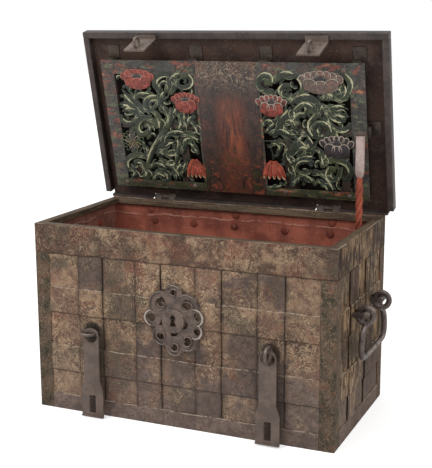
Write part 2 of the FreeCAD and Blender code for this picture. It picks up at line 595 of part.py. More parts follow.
lid_long = woven("lid_long", LID_SIDE_IN, ["-front_pitch / 2", "front_pitch * 1.5"])
lid_flat = FreeCAD.Rotation(FreeCAD.Vector(1, 0, 0), -90)
lid_mid = lid_flat.multiply(FLIP)
LID_HALF = "((body_depth + hinge_behind + lid_front_overhang - flange_thick - 5) / 2)"
LID_CENTRE = "((hinge_behind + flange_thick - 5 - lid_front_overhang) / 2)"
long_straps = [
    place(group("lid_long_front", [lid_long], lid_flat), "0", "-lid_pitch", HINGE_Z),
    place(group("lid_long_middle", [lid_long], lid_mid), "0", "0", HINGE_Z),
    place(group("lid_long_back", [lid_long], lid_flat), "0", "lid_pitch", HINGE_Z),
]
key_rivet = [
    rod("key_rivet", "+z", "0", "22", LID_STRAP + " - 1", "3", "6.5"),
    rod("key_rivet_head", "+z", "0", "22", LID_STRAP + " + 3.3", "6", "2.2"),
]
keyhole_strap = rod("keyhole_strap", "+z", "0", "0", LID_UNDER + " - 5", "7", "30")
pierced = cut("lid_long_pierced", group("lid_long_all", long_straps), [keyhole_strap])
lid_node("lid_long_straps", [fuse("lid_long_whole", [pierced] + key_rivet)])

centre_off = "(%s)" % LID_CENTRE
lid_tall_a = woven("lid_tall_a", LID_HALF, ["0 - lid_pitch - " + centre_off, "lid_pitch - " + centre_off])
lid_tall_b = woven("lid_tall_b", LID_HALF, ["0 - " + centre_off])
across_lid = lid_flat.multiply(FreeCAD.Rotation(FreeCAD.Vector(0, 1, 0), -90))
short_straps = []
for i, x in enumerate(across):
    strap = lid_tall_a if i in (0, 2) else lid_tall_b
    short_straps.append(place(group("lid_short_%d" % i, [strap], across_lid), x, LID_CENTRE, HINGE_Z))
trim = []
for side, sign in (("left", "-"), ("right", "")):
    mid = sign + HINGE_X
    trim.append(box(side + "_trim", mid + " - 50", mid + " + 50", LID_LEAF, HINGE_Y + " + 10",
                    HINGE_Z + " - 5", LID_UPPER + " + 5"))
lid_node("lid_short_straps", [cut("lid_short_trimmed", group("lid_short_all", short_straps), trim)])

# Tabs under the front edge of the lid, each with a ring for a padlock.


def tab(name, x, root, ring_y):
    low = "(body_height - 100)"
    drop = "(%s - %s) * 0.1405" % (FLANGE_Z, low)
    foot_y = "-(%s - 6)" % LID_FRONT
    foot_z = "(%s - 5)" % FLANGE_Z
    points = [(foot_y, FLANGE_Z), ("%s + 5" % root, FLANGE_Z), ("%s + 5 + %s" % (root, drop), low),
              ("%s + %s" % (root, drop), low), ("%s + 0.7" % root, foot_z), (foot_y, foot_z)]
    plate = prism(name + "_plate", "yz", points, "%s - 32" % x, "%s + 32" % x)
    loop = ring(name + "_ring", "+x", x, ring_y, TAB_RING_Z, "14", "4")
    lid_node(name, [fuse(name + "_whole", [plate, loop])])


tab("lid_tab_right", "hasp_right_x", "(-%s - 22)" % FRONT, "-%s - 25.3" % FRONT)
tab("lid_tab_left", "-hasp_left_x", "(-%s - 28.5)" % FRONT, "-%s - 31.8" % FRONT)

# Lock cover in three sections, the outer two pierced with interlaced rings and flowers.
COVER_FRONT = "-(%s - 32.5)" % FRONT
COVER_BACK = "(%s - 23)" % FRONT
COVER_TOP = "(body_height - 31 + cover_thick)"


def pierced_cover(name, x_low, x_high, window_low, window_high, lap, flowers):
    sheet = box(name + "_sheet", x_low, x_high, COVER_FRONT, COVER_BACK, COVER_Z, COVER_TOP)
    window = box(name + "_window", window_low, window_high, "-150", "178", COVER_Z + " - 5",
                 COVER_TOP + " + 5")
    frame = cut(name + "_frame", sheet, [window])
    work = []
    hoop = "((%s - (%s)) / 4 + %s)" % (window_high, window_low, lap)
    for i in range(2):
        for j in range(3):
            x = "%s + (%s - (%s)) * %s" % (window_low, window_high, window_low, 0.25 + 0.5 * i)
            y = "-150 + 328 * %s" % ((j + 0.5) / 3)
            outer = rod("%s_hoop_%d%d" % (name, i, j), "+z", x, y, COVER_Z, hoop, "cover_thick")
            inner = rod("%s_hole_%d%d" % (name, i, j), "+z", x, y, COVER_Z + " - 1", hoop + " - 9",
                        "cover_thick + 2")
            work.append(cut("%s_ring_%d%d" % (name, i, j), outer, [inner]))
    for i, spot in enumerate(flowers):
        work.append(rod("%s_flower_%d" % (name, i), "+z", spot[0], spot[1], COVER_Z, spot[2], "cover_thick"))
    open_work = fuse(name + "_work", work)
    inside = box(name + "_inside", window_low + " - 1", window_high + " + 1", "-151", "179", COVER_Z,
                 COVER_TOP)
    common = doc.addObject("Part::Common", name + "_trimmed")
    common.Base = open_work
    common.Tool = inside
    lid_node(name, [fuse(name + "_whole", [frame, common])])


WINDOW_LEFT = COVER_LEFT + " + 40"
WINDOW_RIGHT = COVER_RIGHT + " - 43"
pierced_cover("cover_left", COVER_LEFT, "-98", WINDOW_LEFT, "-106", "3.5",
              [(WINDOW_LEFT + " + 75", "-134", "26"), ("-139", "-67", "26"),
               (WINDOW_LEFT + " + 32", "56", "26"), ("-130", "129", "26")])
pierced_cover("cover_right", "84", COVER_RIGHT, "92", WINDOW_RIGHT, "2.75",
              [(WINDOW_RIGHT + " - 80", "-138", "26"), ("121", "-69", "26"),
               (WINDOW_RIGHT + " - 42", "43", "26"), ("115", "118", "26"),
               ("(92 + " + WINDOW_RIGHT + ") / 2 + 19.5", "104", "12")])
lid_node("cover_middle", [box("cover_plain", "-98", "84", COVER_FRONT, COVER_BACK, COVER_Z, COVER_TOP)])
studs = []
for i, x in enumerate([COVER_LEFT + " + 35", "-139", "126", COVER_RIGHT + " - 58"]):
    studs.append(head("stud_front_%d" % i, "-z", x, "-171", COVER_Z, "8", "5", "3"))
for i, x in enumerate([COVER_LEFT + " + 35", "-139", "146", COVER_RIGHT + " - 58"]):
    studs.append(head("stud_back_%d" % i, "-z", x, "190", COVER_Z, "7", "4", "3"))
lid_node("cover_rivets", studs)

# Bolt guides: a foot on the lid plate and two cheeks that carry the cover.


def guide(name, x_low, x_high, y_low, y_high, along_y, mid, cheek_low, cheek_high, half):
    foot = box(name + "_foot", x_low, x_high, y_low, y_high, FOOT_Z, LID_UNDER)
    made = [foot]
    for i, sign in enumerate(("-", "")):
        low = "%s %s %s" % (mid, sign or "+", half)
        inner, outer = (low + " - 5", low) if sign else (low, low + " + 5")
        cheek = "%s_cheek_%d" % (name, i)
        if along_y:
            made.append(box(cheek, inner, outer, cheek_low, cheek_high, COVER_TOP, FOOT_Z))
        else:
            made.append(box(cheek, cheek_low, cheek_high, inner, outer, COVER_TOP, FOOT_Z))
    return fuse(name, made)


FRONT_BOLTS = ["-(%s - 60)" % SIDE, "-105", "105", "(%s - 60)" % SIDE]
BACK_BOLTS = ["-(%s - 105)" % SIDE, "-160", "160", "(%s - 105)" % SIDE]
front_guides = []
for i, x in enumerate(FRONT_BOLTS):
    front_guides.append(guide("front_guide_%d" % i, x + " - 19", x + " + 19", "-(%s + 3)" % FRONT, "-150",
                              True, x, COVER_FRONT, "-160", "(bolt_wide / 2 + 0.5)"))
lid_node("bolt_guides_front", front_guides)
back_guides = []
for i, x in enumerate(BACK_BOLTS):
    back_guides.append(guide("back_guide_%d" % i, x + " - 19", x + " + 19", "160",
                             "(%s - strap_thick - 0.5)" % FRONT, True, x, "167", COVER_BACK,
                             "(bolt_wide / 2 + 0.5)"))
lid_node("bolt_guides_back", back_guides)
side_guides = []
for i, ends in enumerate((("-(%s - 8)" % SIDE, COVER_LEFT, COVER_LEFT, COVER_LEFT + " + 15"),
                          (COVER_RIGHT, "(%s - 8)" % SIDE, COVER_RIGHT + " - 7.5", COVER_RIGHT))):
    side_guides.append(guide("side_guide_%d" % i, ends[0], ends[1], "-22", "22", False, "0",
                             ends[2], ends[3], "15.5"))
lid_node("bolt_guides_side", side_guides)

# Catch on the cover that holds the tip of the stay.
catch_low = CATCH_Y + " - 12"
catch_high = CATCH_Y + " + 12"
catch = [box("catch_pad", STAY_X + " - 16.5", STAY_X + " + 16.5", catch_low, catch_high, COVER_Z + " - 2",
             COVER_Z)]
for side, low, high in (("left", " - 16.5", " - 12.7"), ("right", " + 12.7", " + 16.5")):
    catch.append(box("catch_lug_" + side, STAY_X + low, STAY_X + high, catch_low, catch_high,
                     COVER_Z + " - 9", COVER_Z + " - 1"))
lid_node("stay_catch", [fuse("catch", catch)])

# Lock: hub with crank pins, two drive bars that end in the side bolts, front and back bolts.
bush = rod("bush", "+z", "0", "0", "body_height - 9", "16", "13")
bush_bore = rod("bush_bore", "+z", "0", "0", "body_height - 10", "8.1", "20")
lid_node("hub_bush", [cut("bush_ring", bush, [bush_bore])])
PIN_Z = "(body_height - 25)"
CRANK_X = "(bolt_throw / 2)"
CRANK_Y = "sqrt(crank_arm ^ 2 - (bolt_throw / 2) ^ 2)"
hub_parts = [
    rod("hub_shaft", "+z", "0", "0", BOLT_Z, "8", "29"),
    rod("hub_disc", "+z", "0", "0", TAIL_Z, "26", "5"),
    rod("hub_pin_right", "+z", "-" + CRANK_X, "-" + CRANK_Y, PIN_Z, "crank_pin", "10"),
    rod("hub_pin_left", "+z", CRANK_X, CRANK_Y, PIN_Z, "crank_pin", "10"),
]
socket = box("hub_socket", "-3.5", "3.5", "-3.5", "3.5", "body_height - 12", "body_height + 10")
lid_node("lock_hub", [cut("hub", fuse("hub_blank", hub_parts), [socket])])


def pin_slot(name, x, way, start):
    """A slot at 45 degrees for a bolt pin. The bar slides by the throw while the pin crosses the bar."""
    near = (x, "(%sbolt_throw / 2)" % start)
    far = ("(%s %s bolt_throw)" % (x, way), "(0 - %sbolt_throw / 2)" % start)
    off = ["(%s1 * (crank_pin + 0.3) * 0.70711)" % sign for sign in (start, way.strip("+"))]
    bottom = BOLT_Z + " - 1"
    ends = [rod("%s_end_%d" % (name, i), "+z", end[0], end[1], bottom, "crank_pin + 0.3", "bolt_thick + 2")
            for i, end in enumerate((near, far))]
    points = [
        ("%s + %s" % (near[0], off[0]), "%s + %s" % (near[1], off[1])),
        ("%s + %s" % (far[0], off[0]), "%s + %s" % (far[1], off[1])),
        ("%s - %s" % (far[0], off[0]), "%s - %s" % (far[1], off[1])),
        ("%s - %s" % (near[0], off[0]), "%s - %s" % (near[1], off[1])),
    ]
    return fuse(name, ends + [prism(name + "_middle", "xy", points, bottom, BOLT_TOP + " + 1")])


BOLT_TOP = "(body_height - 26 + bolt_thick)"
BAR_END = "(body_width / 2 - 29)"
bar_right = fuse("bar_right_blank", [
    box("bar_right_bar", "25", BAR_END, "-15", "15", BOLT_Z, BOLT_TOP),
    box("bar_right_tongue", "-16", "45", "-29", "-9.5", BOLT_Z, BOLT_TOP),
])
bar_left = fuse("bar_left_blank", [
    box("bar_left_bar", "-" + BAR_END, "-25", "-15", "15", BOLT_Z, BOLT_TOP),
    box("bar_left_tongue", "-45", "16", "9.5", "29", BOLT_Z, BOLT_TOP),
])
bottom = BOLT_Z + " - 1"
top = BOLT_TOP + " + 1"
right_slots = [
    box("crank_slot_right", "-" + CRANK_X + " - crank_pin - 0.3", "-" + CRANK_X + " + crank_pin + 0.3",
        "-crank_arm - crank_pin - 0.6", "-" + CRANK_Y + " + crank_pin + 0.6", bottom, top),
    pin_slot("slot_right_front_a", FRONT_BOLTS[2], "-", ""),
    pin_slot("slot_right_front_b", FRONT_BOLTS[3], "-", ""),
    pin_slot("slot_right_back_a", BACK_BOLTS[2], "-", "-"),
    pin_slot("slot_right_back_b", BACK_BOLTS[3], "-", "-"),
]
left_slots = [
    box("crank_slot_left", CRANK_X + " - crank_pin - 0.3", CRANK_X + " + crank_pin + 0.3",
        CRANK_Y + " - crank_pin - 0.6", "crank_arm + crank_pin + 0.6", bottom, top),
    pin_slot("slot_left_front_a", FRONT_BOLTS[1], "+", ""),
    pin_slot("slot_left_front_b", FRONT_BOLTS[0], "+", ""),
    pin_slot("slot_left_back_a", BACK_BOLTS[1], "+", "-"),
    pin_slot("slot_left_back_b", BACK_BOLTS[0], "+", "-"),
]
lid_node("drive_bar_right", [cut("bar_right", bar_right, right_slots)])
lid_node("drive_bar_left", [cut("bar_left", bar_left, left_slots)])


def bolt(name, x, front):
    if front:
        tip, heel, far, near, pin_y = "-(%s - 29)" % FRONT, "-16.5", "-44", "12", "bolt_throw / 2"
        shank = (tip, heel)
        neck = (far, "-20")
        tail = (far, near)
    else:
        tip, heel, far, near, pin_y = "(%s - 23)" % FRONT, "16.5", "44", "-12", "-bolt_throw / 2"
        shank = (heel, tip)
        neck = ("20", far)
        tail = (near, far)
    low = "%s - bolt_wide / 2" % x
    high = "%s + bolt_wide / 2" % x
    return fuse(name, [
        box(name + "_shank", low, high, shank[0], shank[1], BOLT_Z, BOLT_TOP),
        box(name + "_neck", low, high, neck[0], neck[1], BOLT_TOP, TAIL_Z),
        box(name + "_tail", low, high, tail[0], tail[1], TAIL_Z, TAIL_Z + " + 5"),
        rod(name + "_pin", "+z", x, pin_y, PIN_Z, "crank_pin", "10"),
    ])


lid_node("front_bolts", [bolt("front_bolt_%d" % i, x, True) for i, x in enumerate(FRONT_BOLTS)])
lid_node("back_bolts", [bolt("back_bolt_%d" % i, x, False) for i, x in enumerate(BACK_BOLTS)])

# Small cover that swings aside from the keyhole on top of the lid.
cover_arm = box("key_cover_arm", "-5", "5", "0", "22", LID_STRAP, LID_UPPER)
cover_disc = rod("key_cover_disc", "+z", "0", "0", LID_STRAP, "12", "strap_thick")
cover_ring = rod("key_cover_ring", "+z", "0", "22", LID_STRAP, "8", "strap_thick")
cover_bore = rod("key_cover_bore", "+z", "0", "22", LID_STRAP + " - 1", "3.1", "strap_thick + 2")
lid_node("keyhole_cover", [cut("key_cover", fuse("key_cover_blank", [cover_arm, cover_disc, cover_ring]),
                               [cover_bore])])

doc.recompute()
for thing in doc.Objects:
    if "Invalid" in thing.State or "Error" in thing.State:
        raise RuntimeError("recompute failed: %s" % thing.Name)
for thing in nodes:
    if thing.Shape.isNull() or not thing.Shape.isValid() or not thing.Shape.Solids:
        raise RuntimeError("bad shape: %s" % thing.Label)
    thing.Shape.exportStep("parts/%s.step" % thing.Label)
print("nodes", len(nodes))
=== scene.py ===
"""The looks of an iron coffer chest: worn paint on its straps, a painted lock cover in its open lid,
forged handles, hasps and stay. Places are in metres where nothing says millimetres, and every piece
stands where the frame puts it."""
import json
import math

import bmesh
import bpy
from mathutils import Matrix, Vector


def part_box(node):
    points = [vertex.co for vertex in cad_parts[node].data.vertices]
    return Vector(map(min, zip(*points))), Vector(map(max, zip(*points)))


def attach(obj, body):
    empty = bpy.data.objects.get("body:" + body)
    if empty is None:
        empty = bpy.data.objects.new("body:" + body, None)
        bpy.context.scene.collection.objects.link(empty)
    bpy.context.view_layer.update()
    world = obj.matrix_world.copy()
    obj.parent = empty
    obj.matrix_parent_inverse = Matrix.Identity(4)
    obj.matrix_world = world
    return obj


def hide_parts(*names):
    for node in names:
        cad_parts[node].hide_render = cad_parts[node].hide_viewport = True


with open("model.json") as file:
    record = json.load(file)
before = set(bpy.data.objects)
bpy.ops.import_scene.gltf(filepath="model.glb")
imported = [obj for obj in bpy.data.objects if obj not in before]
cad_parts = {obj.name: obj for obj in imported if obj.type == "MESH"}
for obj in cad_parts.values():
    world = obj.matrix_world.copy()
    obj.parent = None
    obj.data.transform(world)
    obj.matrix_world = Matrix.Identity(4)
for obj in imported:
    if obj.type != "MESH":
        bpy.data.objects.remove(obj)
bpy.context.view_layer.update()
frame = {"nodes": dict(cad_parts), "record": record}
nodes = frame["nodes"]
behaviour = frame["record"]["behaviour"]
joints = {joint["name"]: joint for joint in behaviour["joints"]}
owner = {node: body for body, names in behaviour["bodies"].items() for node in names}

# ---------------------------------------------------------------- places read from the frame
MM = 0.001
HINGE = Vector(joints["lid_hinge"]["pos_m"])
OPEN = math.radians(joints["lid_hinge"]["range_deg"][1])
# Turns a shape that was drawn on the shut lid to where the lid stands open.
LID = Matrix.Translation(HINGE) @ Matrix.Rotation(-OPEN, 4, "X") @ Matrix.Translation(-HINGE)
BODY_LOW, BODY_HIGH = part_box("front_cross_straps")
HALF_DEEP = -BODY_LOW.y
BODY_TALL = BODY_HIGH.z
BAND_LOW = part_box("corner_iron_front_left")[1].z
FOOT_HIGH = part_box("left_upright_straps")[0].z
WALL_INSIDE = {"X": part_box("right_plate")[0].x, "Y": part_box("back_plate")[0].y}
lid_points = [LID.inverted() @ nodes["lid_plate"].matrix_world @ point.co
              for point in nodes["lid_plate"].data.vertices]
LID_MIDDLE = sum(point.z for point in lid_points) / len(lid_points)
COVER_MIDDLE = BODY_TALL - 0.0295

# Middles of the straps. An upright stands as far to the left of the middle as another to the right.
STRAP_WIDE = 0.074
STRAP_Z = (0.151, 0.316)
FRONT_UPRIGHTS = (0.0865, 0.2595)
SIDE_UPRIGHTS = (0.073,)
HINGE_X = 0.259
ROSETTE_MIDDLE = (-0.008, -HALF_DEEP, 0.298)
KEYHOLE = (-0.008, -HALF_DEEP, 0.299)
HASP_EYES = ((0.261, 0.244), (-0.2556, 0.2393))


# ---------------------------------------------------------------- colours and material steps
def tone(text):
    """A screen colour such as 8a7a5c as the linear colour that the shader wants."""
    parts = [int(text[i:i + 2], 16) / 255 for i in (0, 2, 4)]
    return tuple(p / 12.92 if p <= 0.04045 else ((p + 0.055) / 1.055) ** 2.4 for p in parts) + (1.0,)


class Finish:
    """A material with one shader, built up from small named steps."""

    def __init__(self, name, roughness=0.7, metallic=0.0, specular=0.4):
        self.material = bpy.data.materials.new(name)
        self.material.use_nodes = True
        self.tree = self.material.node_tree
        self.shader = self.tree.nodes["Principled BSDF"]
        self.shader.inputs["Roughness"].default_value = roughness
        self.shader.inputs["Metallic"].default_value = metallic
        self.shader.inputs["Specular IOR Level"].default_value = specular
        self.place = self.tree.nodes.new("ShaderNodeTexCoord").outputs["Object"]

    def _set(self, socket, value):
        if isinstance(value, bpy.types.NodeSocket):
            self.tree.links.new(value, socket)
        elif value is not None:
            socket.default_value = value

    def lay_flat(self):
        """Reads places as they are on the shut lid."""
        step = self.tree.nodes.new("ShaderNodeMapping")
        step.inputs["Rotation"].default_value = (OPEN, 0.0, 0.0)
        step.inputs["Location"].default_value = HINGE - Matrix.Rotation(OPEN, 3, "X") @ HINGE
        self._set(step.inputs["Vector"], self.place)
        self.place = step.outputs["Vector"]

    def stretched(self, x, y, z):
        """The place for a pattern that is drawn out along each axis whose factor is small."""
        step = self.tree.nodes.new("ShaderNodeMapping")
        step.inputs["Scale"].default_value = (x, y, z)
        self._set(step.inputs["Vector"], self.place)
        return step.outputs["Vector"]

    def cloud(self, scale, detail=4.0, rough=0.6, place=None, distortion=0.0):
        """Soft random patches."""
        step = self.tree.nodes.new("ShaderNodeTexNoise")
        step.inputs["Scale"].default_value = scale
        step.inputs["Detail"].default_value = detail
        step.inputs["Roughness"].default_value = rough
        step.inputs["Distortion"].default_value = distortion
        self._set(step.inputs["Vector"], place or self.place)
        return step.outputs["Fac"]

    def pits(self, scale):
        """0 in the middle of each small pit, more away from it."""
        step = self.tree.nodes.new("ShaderNodeTexVoronoi")
        step.feature = "F1"
        step.inputs["Scale"].default_value = scale
        self._set(step.inputs["Vector"], self.place)
        return step.outputs["Distance"]

    def chance(self, a, b, seed):
        """One random number for each pair of whole numbers."""
        joined = self.tree.nodes.new("ShaderNodeCombineXYZ")
        for socket, value in zip(joined.inputs, (a, b, seed)):
            self._set(socket, value)
        step = self.tree.nodes.new("ShaderNodeTexWhiteNoise")
        step.noise_dimensions = "3D"
        self._set(step.inputs["Vector"], joined.outputs["Vector"])
        return step.outputs["Value"]

    def axis(self, letter):
        """One coordinate of the place."""
        step = self.tree.nodes.new("ShaderNodeSeparateXYZ")
        self._set(step.inputs["Vector"], self.place)
        return step.outputs[letter]

    def facing(self, letter):
        """How far the surface faces along one axis."""
        geometry = self.tree.nodes.new("ShaderNodeNewGeometry")
        step = self.tree.nodes.new("ShaderNodeSeparateXYZ")
        self._set(step.inputs["Vector"], geometry.outputs["Normal"])
        return step.outputs[letter]

    def sums(self, operation, a, b=None):
        step = self.tree.nodes.new("ShaderNodeMath")
        step.operation = operation
        for socket, value in zip(step.inputs, (a, b)):
            self._set(socket, value)
        return step.outputs[0]

    def total(self, *values):
        result = values[0]
        for value in values[1:]:
            result = self.sums("ADD", result, value)
        return result

    def times(self, value, factor):
        return self.sums("MULTIPLY", value, factor)

    def rest_of(self, share):
        return self.sums("SUBTRACT", 1.0, share)

    def between(self, value, low, high, out_low=0.0, out_high=1.0):
        """value taken from low..high to out_low..out_high, held at both ends."""
        step = self.tree.nodes.new("ShaderNodeMapRange")
        step.interpolation_type = "SMOOTHSTEP"
        ends = {"From Min": low, "From Max": high, "To Min": out_low, "To Max": out_high}
        self._set(step.inputs["Value"], value)
        for name, number in ends.items():
            self._set(step.inputs[name], number)
        return step.outputs["Result"]

    def blend(self, share, a, b):
        """Colour a with a share of colour b over it."""
        step = self.tree.nodes.new("ShaderNodeMix")
        step.data_type = "RGBA"
        self._set(step.inputs["Factor"], share)
        self._set(step.inputs[6], tone(a) if isinstance(a, str) else a)
        self._set(step.inputs[7], tone(b) if isinstance(b, str) else b)
        return step.outputs[2]

    def around(self, middle, near, far):
        """1 within near of a place, falling to 0 at far."""
        step = self.tree.nodes.new("ShaderNodeVectorMath")
        step.operation = "DISTANCE"
        self._set(step.inputs[0], self.place)
        step.inputs[1].default_value = middle
        return self.between(step.outputs["Value"], far, near)

    def line(self, coordinate, middle, half):
        """1 where the coordinate is middle, falling to 0 half away from it."""
        return self.between(self.sums("ABSOLUTE", self.sums("SUBTRACT", coordinate, middle)), half, 0.0)

    def count(self, coordinate, heights):
        """How many of the heights lie below the coordinate."""
        return self.total(*[self.sums("GREATER_THAN", coordinate, height) for height in heights])

    def colour(self, value):
        self._set(self.shader.inputs["Base Color"], value)

    def roughness(self, value):
        self._set(self.shader.inputs["Roughness"], value)

    def relief(self, height, strength, distance):
        """Bumps of a height pattern, up to a distance deep."""
        step = self.tree.nodes.new("ShaderNodeBump")
        step.inputs["Strength"].default_value = strength
        step.inputs["Distance"].default_value = distance
        self._set(step.inputs["Height"], height)
        self._set(self.shader.inputs["Normal"], step.outputs["Normal"])


# ---------------------------------------------------------------- worn paint
FRONT_TINT = ("654c40", "8d735c", "4d483b", "76493a")
SIDE_TINT = ("4e3b2b", "7a5f42", "38332a", "553829")
LEAD_RED = ("9f5a48", "6e3b2f", "b98f80")
LEAD_BROWN = ("8f6153", "62443a", "b89a8e")
LID_BROWN = ("45332c", "2e2421", "75665d")
# Smoke stains inside the lid, and the painted shade behind the lock cover.
LID_SMOKE, LID_SHADE_BEHIND_COVER = "4b403b", "0f0c0b"
CURL_LIGHT, CURL_DARK = "b29a7c", "2e221a"
FLAKE_LIGHT, CRACK_DARK, BAND_SHADE = "b8a38a", "2a1f18", "2c2019"
IRON_DARK, IRON_MID, IRON_LIGHT, IRON_PIT = "4c3f3a", "6f5d54", "806e63", "2b211d"
GRIME, DUST = "3a2e28", "8c7e76"
RUN_DARK, RUN_LIGHT = "1f1712", "a28c6e"
# Pale lines on top edges: rubbed paint with a painted highlight.
WALL_TOP_WEAR_AND_HIGHLIGHT, STRAP_TOP_WEAR_AND_HIGHLIGHT = "a89a8b", "aa9a88"
# Painted shadow under the straps, dark seams with painted shadow at the uprights, and painted shade beside
# them.
SHADOW_BELOW_STRAPS, SEAM_AND_SHADOW_BESIDE, SHADE_BESIDE = "211813", "1d1511", "31251e"
# Painted shadow round the rosette, painted shade in the keyhole and the hasps' eyes, painted shadow behind
# the hasps.
ROSETTE_SHADE, KEYHOLE_SHADE, EYE_SHADE, HASP_SHADE = "2c221d", "0c0908", "1f1814", "2a1f19"
# Lead paint has a pale line at the first height, with a dark one below it at the second: the painted
# highlight and shadow of a ridge.
LEDGE_Z, LEDGE_FOOT_Z = 0.482, 0.477
# The middle of the lock cover on the shut lid.
COVER_X, COVER_Y = -0.004, 0.010


def strap_edges(middles):
    return [edge for middle in middles for edge in (middle - STRAP_WIDE / 2, middle + STRAP_WIDE / 2)]


class StrapWork:
    """Where a point lies in the woven straps of a wall that runs along the axis of the letter."""

    def __init__(self, f, letter):
        self.edges = strap_edges(SIDE_UPRIGHTS if letter == "Y" else FRONT_UPRIGHTS)
        self.up = f.axis("Z")
        self.along = f.axis(letter)
        self.above = f.sums("GREATER_THAN", self.up, BAND_LOW)
        self.plain = f.total(self.above, f.sums("LESS_THAN", self.up, FOOT_HIGH))
        self.woven = f.rest_of(self.plain)
        row = f.count(self.up, [FOOT_HIGH] + strap_edges(STRAP_Z) + [BAND_LOW])
        column = f.times(f.count(self.along, [-edge for edge in self.edges] + self.edges), self.woven)
        self.square = f.times(f.chance(column, row, 3.0), self.woven)
        self.shade = f.chance(column, row, 8.0)


class PaintGrain:
    """The patterns that the steps of a coat of paint share. streaks is the share of fine upright runs."""

    def __init__(self, f, streaks):
        self.broad = f.cloud(8.0, 3.0, 0.6)
        self.patch = f.cloud(24.0, 6.0, 0.7)
        self.fine = f.cloud(150.0, 8.0, 0.75)
        self.flake = f.cloud(420.0, 4.0, 0.7)
        self.curl = f.cloud(42.0, 4.0, 0.55, None, 2.2)
        self.runs = None
        if streaks:
            self.runs = f.cloud(75.0, 6.0, 0.65, f.stretched(1.0, 1.0, 0.24), 0.5)
            self.patch = f.total(f.times(self.patch, 1.0 - streaks), f.times(self.runs, streaks))
            self.curl = f.total(f.times(self.curl, 1.0 - streaks), f.times(self.runs, streaks))


def coat_colour(f, work, grain, tint):
    """Two shades of old paint with olive and rust patches, light and dark curls, flaking and cracks."""
    brown, tan, olive, rust = tint
    coat = f.blend(f.between(f.total(grain.patch, f.times(work.shade, 0.10)), 0.46, 0.64), brown, tan)
    green = f.between(f.total(grain.broad, f.times(work.shade, 0.22)), 0.58, 0.72, 0.0, 0.7)
    coat = f.blend(green, coat, olive)
    warm = f.total(f.cloud(17.0, 4.0, 0.6), f.between(work.up, BAND_LOW - 0.004, BAND_LOW + 0.004, 0.0, 0.07))
    coat = f.blend(f.between(warm, 0.54, 0.66, 0.0, 0.7), coat, rust)
    lively = f.between(f.cloud(11.0, 3.0, 0.6), 0.40, 0.58, 0.25, 1.0)
    coat = f.blend(f.times(f.line(grain.curl, 0.55, 0.045), f.times(lively, 0.75)), coat, CURL_LIGHT)
    coat = f.blend(f.times(f.line(grain.curl, 0.47, 0.045), f.times(lively, 0.85)), coat, CURL_DARK)
    coat = f.blend(f.between(grain.flake, 0.54, 0.66, 0.0, 0.6), coat, FLAKE_LIGHT)
    coat = f.blend(f.between(grain.fine, 0.47, 0.36, 0.0, 0.6), coat, CRACK_DARK)
    return f.blend(f.times(work.above, f.between(grain.patch, 0.60, 0.44, 0.06, 0.46)), coat, BAND_SHADE)


def rubbed_share(f, work, grain, bare):
    """1 where the paint is rubbed down to the iron, more of it low down and on the right."""
    lower = f.between(work.up, 0.34, 0.03, 0.0, 0.10)
    foot = f.between(work.up, FOOT_HIGH + 0.002, FOOT_HIGH - 0.004, 0.0, 0.30)
    right = f.between(work.along, -0.1, 0.42, 0.0, 0.04)
    corner = f.times(f.between(work.along, 0.15, 0.30), f.between(work.up, 0.26, 0.17, 0.0, 0.10))
    rub = f.total(f.times(grain.patch, 0.9), f.times(grain.broad, 0.45), f.times(grain.fine, 0.40), lower,
                  foot, right, corner, f.times(work.square, 0.24), f.times(work.plain, 0.03))
    limit = 1.26 - bare * 0.30
    return f.between(rub, limit - 0.035, limit + 0.035)


def bare_iron(f, grain):
    """The iron that shows where the paint is gone."""
    metal = f.blend(f.between(f.cloud(60.0, 6.0, 0.65), 0.38, 0.62), IRON_DARK, IRON_MID)
    metal = f.blend(f.between(grain.flake, 0.54, 0.68, 0.0, 0.5), metal, IRON_LIGHT)
    return f.blend(f.between(grain.fine, 0.48, 0.38, 0.0, 0.8), metal, IRON_PIT)


def grimed(f, work, grain, colour):
    """Adds patches of grime and the dust near the foot, and the runs where the grain has them."""
    dirty = f.total(grain.broad, f.times(work.square, 0.2), f.times(work.plain, 0.10))
    colour = f.blend(f.between(dirty, 0.56, 0.72, 0.0, 0.42), colour, GRIME)
    if grain.runs is None:
        colour = f.blend(f.between(work.up, 0.24, 0.10, 0.0, 0.10), colour, DUST)
        # Darker towards the right, above the foot.
        dim = f.times(f.between(work.along, 0.08, 0.34, 0.0, 0.16), f.between(work.up, 0.18, 0.30))
        return f.blend(dim, colour, GRIME)
    deep = f.times(f.between(grain.runs, 0.46, 0.35, 0.0, 0.72), f.between(work.up, 0.04, 0.24, 0.6, 1.0))
    colour = f.blend(deep, colour, RUN_DARK)
    colour = f.blend(f.between(grain.runs, 0.58, 0.70, 0.0, 0.40), colour, RUN_LIGHT)
    return f.blend(f.between(work.up, 0.22, 0.04, 0.0, 0.28), colour, DUST)


